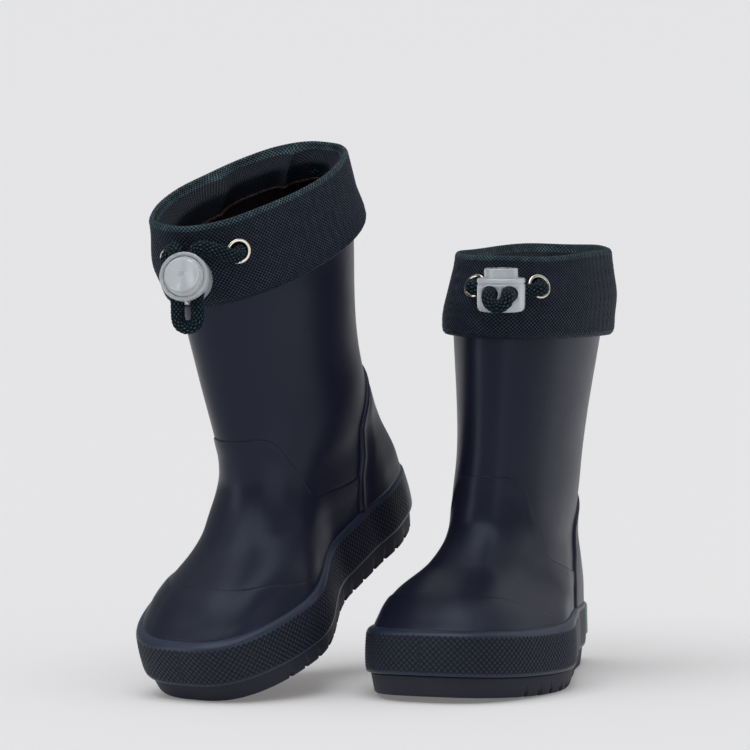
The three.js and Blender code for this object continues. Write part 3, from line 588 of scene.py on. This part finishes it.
def heel_counter(boot):
    """The counter has a rounded bead round its edge and a shallow valley inside that."""
    share = np.linspace(-1, 1, 97)
    bead_width = 1.15
    heights = np.r_[np.linspace(26.6, COUNTER_SHOULDER, 34), np.linspace(COUNTER_SHOULDER, 79.2, 40)[1:],
                    79.5, 79.7]
    outer, inner = [], []
    for z in heights:
        s = min(max((z - COUNTER_SHOULDER) / (COUNTER_TOP - COUNTER_SHOULDER), 0), 0.992)
        reach = math.radians(COUNTER_REACH) * (1 - s ** 1.5) ** 0.8
        angle = math.pi + reach * share
        middle = skin(boot["side"], angle, z)
        length = np.linalg.norm(np.diff(middle, axis=0), axis=1).sum()
        edge = (1 - np.abs(share)) * length / 2
        edge = np.minimum(edge, (COUNTER_TOP - 0.1 - z) * 0.9)
        bead = bead_width * np.sqrt(np.clip(1 - (np.clip(edge, 0, bead_width) / bead_width - 1) ** 2, 0, 1))
        valley = 0.45 * smooth((edge - 1.5) / 0.9) * (1 - smooth((edge - 3.2) / 6))
        outer.append(skin(boot["side"], angle, z, 0.1 + bead - valley))
        inner.append(skin(boot["side"], angle, z, -0.4))
    return plate(boot, "heel_counter_skin", np.array(outer), np.array(inner), UPPER)


def toe_cap(boot):
    """A thin overlay whose upper edge shows on the sides and melts away in the middle."""
    degrees = np.linspace(-TOE_CAP_REACH, TOE_CAP_REACH, 161)
    shares = np.r_[np.linspace(0, 0.9, 22), 0.95, 0.975, 0.99, 1]
    top = curve_at(TOE_CAP_TOP, np.abs(degrees))
    height = -0.08 + 0.6 * smooth((np.abs(degrees) - 16) / 18) * (1 - smooth((np.abs(degrees) - 60) / 16))
    outer, inner = [], []
    for share in shares:
        z = 26 + (top - 26) * share
        rise = np.clip((1 - share) * (top - 26) / 1.1, 0, 1)
        out = height * np.sqrt(np.clip(1 - (1 - rise) ** 2, 0, 1)) * smooth((z - 25) / 3 + 0.4)
        outer.append(skin(boot["side"], np.radians(degrees), z, out + 0.01))
        inner.append(skin(boot["side"], np.radians(degrees), z, -0.5))
    return plate(boot, "toe_cap_skin", np.array(outer), np.array(inner), UPPER)


# The band's knurl: small diamonds in staggered rows
KNURL = 1.2
KNURL_HEIGHT = 0.5


def marked(piece, heights):
    """Stores how raised each point is, for its material to paint shade in the hollows and glints on the tops.
    """
    values = np.ones(len(piece.data.vertices), np.float32)
    values[:heights.size] = heights.ravel()
    piece.data.attributes.new("relief", "FLOAT", "POINT").data.foreach_set("value", values)
    return piece


def foxing(boot):
    columns = 1440
    angle = crowded(columns)
    ring = outline(boot["side"], angle, 17, FOXING_OUT)
    steps = np.linalg.norm(np.roll(ring, -1, 0) - ring, axis=1)
    around = np.r_[0, np.cumsum(steps)[:-1]] / steps.sum()
    even = np.interp(np.arange(columns) / columns, np.r_[around, 1], np.r_[angle, 2 * math.pi])
    cells = round(steps.sum() / KNURL)
    u = np.arange(columns) / columns * cells
    plain_heel = 1 - smooth((from_front(even) - 143) / 12)
    levels = [(8.4, -0.3, 0), (8.4, 1.2, 0), (8.42, 1.9, 0), (8.6, 2.35, 0), (9, 2.58, 0)]
    for z in np.linspace(9.4, 24.6, 56):
        levels.append((z, FOXING_OUT + 0.15 * math.sin((z - 9) / 16 * math.pi),
                       float(smooth((z - 9.3) / 0.9) * smooth((24.7 - z) / 0.9))))
    levels += [(25.2, 2.5, 0), (25.8, 2.2, 0), (26.3, 1.7, 0), (26.7, 1.05, 0), (26.95, 0.5, 0), (27, 0, 0),
               (26.6, -0.4, 0), (20, -0.4, 0), (14, -0.4, 0)]
    rings, heights = [], []
    for z, out, knurl in levels:
        v = z / KNURL
        wave = np.abs(np.sin(math.pi * (u + v) / 2) * np.sin(math.pi * (u - v) / 2)) ** 0.6
        share = knurl * plain_heel
        rings.append(outline(boot["side"], even, z, out + share * KNURL_HEIGHT * (wave - 0.6)))
        heights.append(1 - share * (1 - wave))
    # The heights go to the band's material, which paints shade in the knurl's hollows and glints where the
    # band is raised or plain.
    return marked(hollow(boot, "foxing_knurl", np.stack(rings), BAND), np.stack(heights))


def cut(piece, tools):
    """Takes tools away from a piece and deletes them."""
    for tool in tools:
        modifier = piece.modifiers.new("cut", "BOOLEAN")
        modifier.operation = "DIFFERENCE"
        modifier.solver = "EXACT"
        modifier.object = tool
    whole = bpy.context.evaluated_depsgraph_get()
    mesh = bpy.data.meshes.new_from_object(piece.evaluated_get(whole))
    piece.modifiers.clear()
    piece.data = mesh
    for tool in tools:
        bpy.data.objects.remove(tool)
    return piece


def outsole(boot):
    angle = crowded(288)
    levels = [(0, -0.6), (0.1, -0.15), (0.4, 0.2), (0.9, 0.4), (2, 0.5), (7.4, 0.8), (8, 0.75), (8.3, 0.4),
              (8.3, -2)]
    rings = np.stack([outline(boot["side"], angle, z, out) for z, out in levels])
    piece = solid(boot, "outsole_lugs", rings, SOLE)
    grooves = []
    for i in range(GROOVES):
        y = FIRST_GROOVE_Y + LUG_PITCH * i
        lift = float(toe_lift(np.float64(y)))
        bar = [[x, y + w * side, lift + z] for x in (-70, 70)
               for w, z in ((1.0, 2.2), (1.5, -2)) for side in (-1, 1)]
        faces = [(0, 1, 3, 2), (4, 6, 7, 5), (0, 4, 5, 1), (2, 3, 7, 6), (0, 2, 6, 4), (1, 5, 7, 3)]
        grooves.append(face_out(make_piece(boot, f"groove_{i}", bar, faces, SOLE)))
    return cut(piece, grooves)


def heel_badge(boot):
    """A blank rounded label with a raised rim, behind the heel and towards the outer side."""
    radius = np.r_[np.linspace(0, 0.8, 6), 0.84, 0.88, 0.93, 0.97, 1, 1.01]
    out = np.r_[np.full(6, 0.75), 0.8, 1.15, 1.3, 1.15, 0.7, -0.4]
    turn = angles(48)
    wide = np.sign(np.sin(turn)) * np.abs(np.sin(turn)) ** 0.55
    tall = np.sign(np.cos(turn)) * np.abs(np.cos(turn)) ** 0.55
    middle = math.pi + BADGE_TURN
    rings = [outline(boot["side"], middle + BADGE_REACH * r * wide, BADGE_Z + BADGE_HALF_HEIGHT * r * tall,
                     FOXING_OUT + o) for r, o in zip(radius[1:], out[1:])]
    return solid(boot, "heel_badge_plate", np.stack(rings), BADGE)


def foot_layer(boot, name, low, high, inset, material):
    angle = crowded(128)
    levels = [(low, -inset), (low + (high - low) * 0.5, -inset), (high - 0.4, -inset), (high, -inset - 0.5)]
    return solid(boot, name, skin_rings(boot["side"], angle, levels), material)


# ---- Cuff --------------------------------------------------------------------------------------------------

CELL_WIDE, CELL_TALL = 1.75, 1.5  # one cell of the mesh
CUFF_GIRTH = 286
HEM_HEIGHT = 0.52  # share of the cuff's height where the cloth meets the lining inside


def near_eyelets(boot, angle):
    """1 at an eyelet, falling to 0 about 12 mm away."""
    away = [(np.degrees(angle) - degrees + 180) % 360 - 180 for degrees in boot["eyelets"].values()]
    return np.clip(sum(np.exp(-(a / 15) ** 2) for a in away), 0, 1)


def cuff(boot):
    """One wall of cloth: from under the turned-in hem, up the outside, over the fold and down the inside."""
    random = np.random.default_rng(boot["seed"])
    phase = random.uniform(0, 2 * math.pi, 12)
    angle = crowded(800)
    # round the section: height, depth inside
    outside = [(0.03, 4.2), (0.0, 3.4), (-0.012, 2.4), (-0.01, 1.3), (0.02, 0.35)]
    outside += [(k, 0.0) for k in np.linspace(0.06, 0.95, 78)]
    fold = [(0.975, 0.25), (0.992, 0.7), (1.0, 1.35), (0.992, 2.0), (0.97, 2.5)]
    inside = [(k, 2.8 + 6.6 * float(smooth((0.95 - k) / 0.2))) for k in np.linspace(0.94, 0.2, 22)]
    turned_under = [(0.2, 8.5), (0.5, 8.5), (0.74, 8.4), (0.82, 4.9), (0.9, 1.7)]
    back = [(0.7, 1.0), (0.4, 0.9), (0.1, 1.3), (0.06, 4.0)]
    rings, uv = [], []
    walked, last = 0.0, None
    section = outside + fold + inside + turned_under + back
    cells = round(CUFF_GIRTH / CELL_WIDE)
    first = cuff_point(boot, angle, 0.5)
    steps = np.r_[0, np.cumsum(np.linalg.norm(np.diff(first, axis=0), axis=1))]
    u = steps / (steps[-1] + np.linalg.norm(first[0] - first[-1])) * cells
    calm = 1 - near_eyelets(boot, angle)
    inner_side = smooth(boot["side"] * np.sin(angle) * 1.6)  # the cloth stays in here, off the other boot
    for i, (k, inset) in enumerate(section):
        full = boot["fullness"] * math.exp(-((k - 0.45) / 0.3) ** 2) * calm
        bulge = -0.5 * math.exp(-((k - 0.16) / 0.16) ** 2) - full
        wave = sum(a * np.sin(n * angle + phase[j] + 2.2 * k * (j % 3 - 1))
                   for j, (n, a) in enumerate(((2, 0.35), (3, 0.4), (5, 0.28), (8, 0.16), (13, 0.08))))
        sway = wave * (0.35 + 0.65 * k) * calm
        loose = bulge + sway
        loose = np.where(loose < 0, loose * (1 - 0.95 * inner_side), loose)
        crumple = np.zeros_like(angle)
        if len(outside) + len(fold) <= i < len(section) - len(back):
            crumple = crumpled(boot, angle, k)
        lift = 0.006 * np.sin(3 * angle + phase[6]) + 0.008 * np.sin(5 * angle + phase[7])
        height = k + lift * float(smooth((k - 0.55) / 0.45))
        depth = inset + loose + crumple
        ring = cuff_point(boot, angle, height, depth)
        if last is not None:
            walked += float(np.linalg.norm(ring - last, axis=1).mean())
        last = ring
        v = walked / CELL_TALL
        if i < len(outside) + len(fold):
            weave = np.abs(np.sin(math.pi * (u + v)) * np.sin(math.pi * (u - v)))
            ring = cuff_point(boot, angle, height, depth + 0.4 * np.sqrt(weave) - 0.15)
        rings.append(ring)
        uv.append(np.stack([u, np.full_like(u, v)], -1))
    piece = hollow(boot, "cuff_cloth", np.stack(rings), MESH_CLOTH, np.stack(uv))
    piece.data.materials.append(HIGHLIT_EDGE_CLOTH)
    piece.data.materials.append(SHADED_INNER_CLOTH)
    piece.data.materials.append(LINING)
    columns = len(angle)
    # The rows round the fold take the lighter copy of the cloth, a painted highlight, and the rows inside
    # take the darker copy, painted shade; the rows below the hem take the lining.
    row = np.arange(len(piece.data.polygons)) // columns
    top = (row >= len(outside) - 2) & (row < len(outside) + len(fold) + 1)
    inner = row >= len(outside) + len(fold) + 1
    lower = row >= len(outside) + len(fold) + np.argmax([k < HEM_HEIGHT for k, _ in inside])
    slots = np.where(top, 1, np.where(lower, 3, np.where(inner, 2, 0)))
    piece.data.polygons.foreach_set("material_index", slots)
    holes = []
    for degrees in boot["eyelets"].values():
        rings = np.stack([[(4.3 * math.cos(a), 4.3 * math.sin(a), z) for a in angles(32)] for z in (-3, 3)])
        holes.append(solid(boot, "eyelet_hole", rings, MESH_CLOTH, in_metres(eyelet_frame(boot, degrees))))
    return cut(piece, holes)


def crumpled(boot, angle, k):
    """The inside of the cuff is pushed in where the cloth has collapsed a little behind the heel."""
    degrees = (np.degrees(angle) + 360) % 360
    amount = 1.0 if boot["name"] == "right" else 0.45
    fold = 7 * np.exp(-np.abs(degrees - 200 - 26 * (1 - k)) / 7) - 1.6 * np.exp(-((degrees - 186) / 7) ** 2)
    fold += 3 * np.exp(-np.abs(degrees - 252 - 30 * (1 - k)) / 8)
    ripple = 0.7 * np.sin(np.radians(degrees) * 9 + 5 * k) * np.exp(-((degrees - 200) / 70) ** 2)
    return amount * (fold + ripple) * float(smooth((k - 0.1) / 0.4)) * float(smooth((1.02 - k) / 0.15))


def hem(boot):
    """The stitched edge inside, where the cloth meets the lining."""
    angle = angles(360)
    inset = 9.5 + crumpled(boot, angle, HEM_HEIGHT)
    line = cuff_point(boot, angle, HEM_HEIGHT + 0.02 * np.sin(2 * angle) + 0.004 * np.sin(90 * angle), inset)
    swell = 0.55 + 0.12 * np.sin(120 * angle)
    rings = []
    for a in angles(8):
        wide = swell * math.cos(a)
        rings.append(line + np.stack([np.sin(angle) * wide, -np.cos(angle) * wide, swell * math.sin(a)], -1))
    return hollow(boot, "cuff_hem", np.stack(rings), HEM)


def turned(boot, name, profile, steps, material, place):
    """A piece turned about Z from an open profile of (radius, height) points whose ends are on the axis."""
    turn = angles(steps)
    rings = np.stack([[(r * math.cos(a), r * math.sin(a), z) for a in turn] for r, z in profile[1:-1]])
    return solid(boot, name, rings, material, place)


def turned_ring(boot, name, profile, steps, material, place):
    turn = angles(steps)
    rings = np.stack([[(r * math.cos(a), r * math.sin(a), z) for a in turn] for r, z in profile])
    columns = rings.shape[1]
    faces = quads(len(profile), columns, True, True).tolist()
    return face_out(make_piece(boot, name, rings, faces, material, place=place))


def rounded(points, radius, steps=4):
    """Rounds the corners of a profile given as (r, z) points; the first and last stay as they are."""
    result = [points[0]]
    for before, corner, after in zip(points, points[1:], points[2:]):
        b, c, a = (np.array(p, float) for p in (before, corner, after))
        reach = min(radius, np.linalg.norm(b - c) / 2.1, np.linalg.norm(a - c) / 2.1)
        start, end = c + (b - c) / np.linalg.norm(b - c) * reach, c + (a - c) / np.linalg.norm(a - c) * reach
        for t in np.linspace(0, 1, steps + 1):
            result.append(tuple((1 - t) ** 2 * start + 2 * t * (1 - t) * c + t * t * end))
    result.append(points[-1])
    return result


def eyelet(boot, place_name, degrees):
    place = in_metres(eyelet_frame(boot, degrees))
    bead = [(4.35 + 0.75 * math.cos(a), 0.55 + 0.5 * math.sin(a)) for a in np.linspace(-0.3, math.pi, 12)]
    profile = bead + [(3.72, -2.0), (3.98, -2.0), (4.0, 0.1)]
    return turned_ring(boot, f"eyelet_{place_name}_ring", profile, 64, NICKEL, place)


def washer(boot, place_name, degrees):
    profile = [(4.3, -2), (4.9, -2), (4.9, -1.7), (4.3, -1.7)]
    place = in_metres(eyelet_frame(boot, degrees))
    return turned_ring(boot, f"washer_{place_name}_ring", profile, 48, NICKEL, place)


# ---- Cord --------------------------------------------------------------------------------------------------

CORD_RADIUS = 2.7
CORD_SPACING = 3.9  # each run of cord is this far from the lock's middle


def cord_route(boot):
    """The cord's points: round the back in its channel, out of the eyelets, through the lock."""
    frame_in = lock_frame(boot)

    def in_lock(x, out, up):
        return Vector(frame_in @ Vector((x, -out, up)))

    def through_eyelet(degrees, way):
        bend = ((4.6, -5.75), (1.4, -4.3), (0, -1.4), (0, 1.5))
        return [eyelet_frame(boot, degrees) @ Vector((way * along, 0, out)) for along, out in bend]

    def channel(degrees):
        return Vector(cuff_point(boot, math.radians(degrees), CHANNEL_HEIGHT, CHANNEL_INSET))

    low, high = sorted(boot["eyelets"].values())
    seam, steps, end = 178.5, 7, 13
    right = [channel(seam - (seam - high - end) * i / (steps - 1)) for i in range(steps)]
    left = [channel(-seam + (seam + low - end) * i / (steps - 1)) for i in range(steps)]
    through = [[in_lock(x, out, 0) for out in (-5, 2.5, 10)] for x in (CORD_SPACING, -CORD_SPACING)]
    return (right + through_eyelet(high, 1) + [Vector(p) for p in boot["into_lock"]] + through[0]
            + [in_lock(*p) for p in boot["loop"]] + through[1][::-1]
            + [Vector(p) for p in boot["out_of_lock"]] + through_eyelet(low, -1)[::-1] + left[::-1])


def catmull_rom(points, per_span):
    """A centripetal Catmull-Rom curve through the points."""
    p = np.array([list(v) for v in points], float)
    p = np.vstack([2 * p[0] - p[1], p, 2 * p[-1] - p[-2]])
    result = []
    for i in range(1, len(p) - 2):
        p0, p1, p2, p3 = p[i - 1:i + 3]
        d = [max(np.linalg.norm(b - a) ** 0.5, 1e-4) for a, b in ((p0, p1), (p1, p2), (p2, p3))]
        m1 = (p1 - p0) / d[0] - (p2 - p0) / (d[0] + d[1]) + (p2 - p1) / d[1]
        m2 = (p2 - p1) / d[1] - (p3 - p1) / (d[1] + d[2]) + (p3 - p2) / d[2]
        m1, m2 = m1 * d[1], m2 * d[1]
        for t in np.arange(per_span) / per_span:
            result.append((2 * t ** 3 - 3 * t * t + 1) * p1 + (t ** 3 - 2 * t * t + t) * m1
                          + (3 * t * t - 2 * t ** 3) * p2 + (t ** 3 - t * t) * m2)
    return np.array(result + [p[-2]])


def even_steps(line, step):
    walked = np.r_[0, np.cumsum(np.linalg.norm(np.diff(line, axis=0), axis=1))]
    count = int(walked[-1] / step) + 1
    at = np.linspace(0, walked[-1], count)
    return np.stack([np.interp(at, walked, line[:, i]) for i in range(3)], -1), at


def carried_frames(line):
    """Two directions square to the line at each point, turning as little as they can."""
    tangent = np.gradient(line, axis=0)
    tangent /= np.linalg.norm(tangent, axis=1, keepdims=True)
    normal = np.cross(tangent[0], (0, 0, 1.0))
    normals = []
    for t in tangent:
        normal = normal - t * normal.dot(t)
        normal = normal / np.linalg.norm(normal)
        normals.append(normal)
    normals = np.array(normals)
    return normals, np.cross(tangent, normals)


def drawcord(boot):
    line, at = even_steps(catmull_rom(cord_route(boot), 24), 0.3)
    first, second = carried_frames(line)
    turn = angles(52)
    bundles, lead = 10, 2.1
    a, s = turn[None, :] * bundles / (2 * math.pi), at[:, None] / lead
    bundle = np.abs(np.sin(math.pi * (a + s)) * np.sin(math.pi * (a - s))) ** 0.6
    radius = CORD_RADIUS - 0.4 + 0.6 * bundle
    points = (line[:, None] + first[:, None] * (radius * np.cos(turn))[..., None]
              + second[:, None] * (radius * np.sin(turn))[..., None])
    # The bundle heights go to the cord's material, which paints shade between the bundles and glints on their
    # tops.
    piece = marked(solid(boot, "drawcord_braid", points, CORD), bundle)
    path = [boot["frame"] @ Vector(p * MM) for p in line[::6]]
    path.append(boot["frame"] @ Vector(line[-1] * MM))
    return piece


# ---- Cord lock ---------------------------------------------------------------------------------------------

BORE_FLOOR = -6.6
BARREL = [(0, -7.6), (7, -7.6), (8.9, -7.1), (9.55, -5.8), (9.7, -4.2), (9.7, 3.4), (9.45, 3.7), (9.45, 4.1),
          (9.7, 4.4), (9.7, 6.2), (8.2, 6.2), (8.2, BORE_FLOOR), (0, BORE_FLOOR)]
PLUNGER = [(0, -4.2), (8, -4.2), (8, 5.6), (6.8, 5.6), (6.8, 10.1), (1.5, 10.1), (1.1, 9.4), (0, 9.4)]
BARREL_WINDOW, PLUNGER_WINDOW = 3.4, 3.2  # radii of the holes that the cord runs through
BUTTON_TRAVEL = 2
SPRING_TURNS, SPRING_RADIUS, SPRING_TAPER = 2.5, 6.6, 3.4
SPRING_WIRE = 0.18


def cord_windows(boot, radius, tall, place):
    tools = []
    for x in (-CORD_SPACING, CORD_SPACING):
        shape = [(x + radius * math.cos(a), radius * math.sin(a) + (tall if a < math.pi else 0))
                 for a in np.linspace(0, 2 * math.pi, 41)[:-1]]
        rings = np.stack([[(px, y, pz) for px, pz in shape] for y in (-12, 12)])
        tools.append(solid(boot, "window", rings, CLEAR, place))
    return tools


def lock_barrel(boot):
    place = in_metres(lock_frame(boot))
    piece = turned(boot, "lock_barrel_shell", rounded(BARREL, 0.9), 72, CLEAR, place)
    return cut(piece, cord_windows(boot, BARREL_WINDOW, 0, place))


def lock_plunger(boot):
    place = in_metres(lock_frame(boot))
    piece = turned(boot, "lock_plunger_button", rounded(PLUNGER, 0.7), 72, BUTTON, place)
    return cut(piece, cord_windows(boot, PLUNGER_WINDOW, BUTTON_TRAVEL, place))


def lock_spring(boot):
    share = np.linspace(0, 1, 201)
    turn = 2 * math.pi * SPRING_TURNS * share
    radius = SPRING_RADIUS - SPRING_TAPER * share
    line = np.stack([radius * np.cos(turn), radius * np.sin(turn), -6.2 + 1.6 * share], -1)
    first, second = carried_frames(line)
    a = angles(10)
    points = (line[:, None] + first[:, None] * (SPRING_WIRE * np.cos(a))[None, :, None]
              + second[:, None] * (SPRING_WIRE * np.sin(a))[None, :, None])
    return solid(boot, "lock_spring_wire", points, STEEL, in_metres(lock_frame(boot)))


# ---- Assembly ----------------------------------------------------------------------------------------------

def build(boot):
    name = boot["name"]

    def use(piece, node, body="boot"):
        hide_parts(f"{name}_{node}")
        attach(piece, f"{name}_{body}")
        return piece

    use(drawcord(boot), "drawcord")
    use(vamp(boot), "vamp")
    use(leg(boot), "shaft")
    use(heel_counter(boot), "heel_counter")
    use(toe_cap(boot), "toe_cap")
    use(foxing(boot), "foxing_band")
    use(outsole(boot), "outsole")
    use(heel_badge(boot), "heel_badge")
    use(foot_layer(boot, "midsole_board", 8.5, 13.5, 2.7, FOAM), "midsole_filler")
    use(foot_layer(boot, "insole_pad", 13.8, 17.3, 3, LINING), "insole")
    use(lining(boot), "lining")
    cloth = use(cuff(boot), "cuff")
    edge = hem(boot)
    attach(edge, f"{name}_boot")
    for place, degrees in boot["eyelets"].items():
        use(eyelet(boot, place, degrees), f"eyelet_{place}")
        use(washer(boot, place, degrees), f"washer_{place}")
    use(lock_barrel(boot), "lock_barrel", "lock")
    spring = use(lock_spring(boot), "lock_spring", "lock")
    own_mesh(spring)
    use(lock_plunger(boot), "lock_plunger", "button")


# ---- Studio ------------------------------------------------------------------------------------------------

STRIP_HEIGHT = 1.3
STRIP_Z = 0.45
STRIP_TARGET = (0, 0, 0.08)
FLOOR_REACH = 40


def add_light(name, kind, energy):
    data = bpy.data.lights.new(name, kind)
    data.energy = energy
    light = bpy.data.objects.new(name, data)
    bpy.context.collection.objects.link(light)
    return light


def sun(name, direction, strength, angle, colour=(1, 1, 1)):
    light = add_light(name, "SUN", strength)
    light.data.angle = math.radians(angle)
    light.data.color = colour
    light.rotation_euler = Vector(direction).to_track_quat("-Z", "Y").to_euler()
    return light


def strip(name, way, distance, width, power, lit):
    """A tall soft box to one side. It lights only the pieces in lit, and nothing else gets in its way."""
    light = add_light(name, "AREA", power)
    light.data.shape = "RECTANGLE"
    light.data.size, light.data.size_y = width, STRIP_HEIGHT
    light.location = (way[0] * distance, way[1] * distance, STRIP_Z)
    light.rotation_euler = (Vector(STRIP_TARGET) - light.location).to_track_quat("-Z", "Y").to_euler()
    light.light_linking.receiver_collection = light.light_linking.blocker_collection = lit


def studio(boots, left_boot, right_boot):
    mesh = bpy.data.meshes.new("floor")
    corners = [(x * FLOOR_REACH, y * FLOOR_REACH, 0) for x, y in ((-1, -1), (1, -1), (1, 1), (-1, 1))]
    mesh.from_pydata(corners, [], [(0, 1, 2, 3)])
    floor = bpy.data.objects.new("floor", mesh)
    bpy.context.collection.objects.link(floor)
    pale = Look("floor", (0.86, 0.855, 0.86), 0.9, Specular_IOR_Level=0.1)
    mesh.materials.append(pale.material)
    ground = bpy.data.collections.new("ground")
    ground.objects.link(floor)
    world = bpy.data.worlds.new("studio")
    bpy.context.scene.world = world
    world.use_nodes = True
    sky = world.node_tree.nodes["Background"]
    sky.inputs["Color"].default_value = (0.96, 0.98, 1, 1)
    sky.inputs["Strength"].default_value = 0.3
    sun("above", (0.1, 0.3, -1), 1.5, 60, (0.985, 1, 1.015))
    behind = sun("behind", (-0.5, -0.6, -0.8), 0.3, 60)
    behind.light_linking.receiver_collection = boots
    fill = sun("ground_fill", (0, 0, -1), 0.6, 10, (1, 0.96, 0.94))
    fill.light_linking.receiver_collection = fill.light_linking.blocker_collection = ground
    for name, one, left, right in (("left", left_boot, 3.6, 0.8), ("right", right_boot, 3.4, 3.6)):
        strip(f"{name}_boot_left_strip", (-0.80, -0.60), 1.5, 0.2, left, one)
        strip(f"{name}_boot_front_panel", (0.636, -0.772), 1.8, 0.4, 1.8, one)
        strip(f"{name}_boot_right_panel", (0.90, -0.436), 1.8, 1.0, right, one)
    strip("right_edge", (0.75, 0.66), 1.6, 0.4, 1.0, boots)
    bpy.context.scene.view_settings.view_transform = "Standard"


make_camera()
for one in (LEFT, RIGHT):
    build(one)
boots = bpy.data.collections.new("boots")
left_boot = bpy.data.collections.new("left_boot_only")
right_boot = bpy.data.collections.new("right_boot_only")
for thing in bpy.context.scene.objects:
    if thing.type == "MESH":
        boots.objects.link(thing)
        (left_boot if thing.name.startswith("left") else right_boot).objects.link(thing)
studio(boots, left_boot, right_boot)
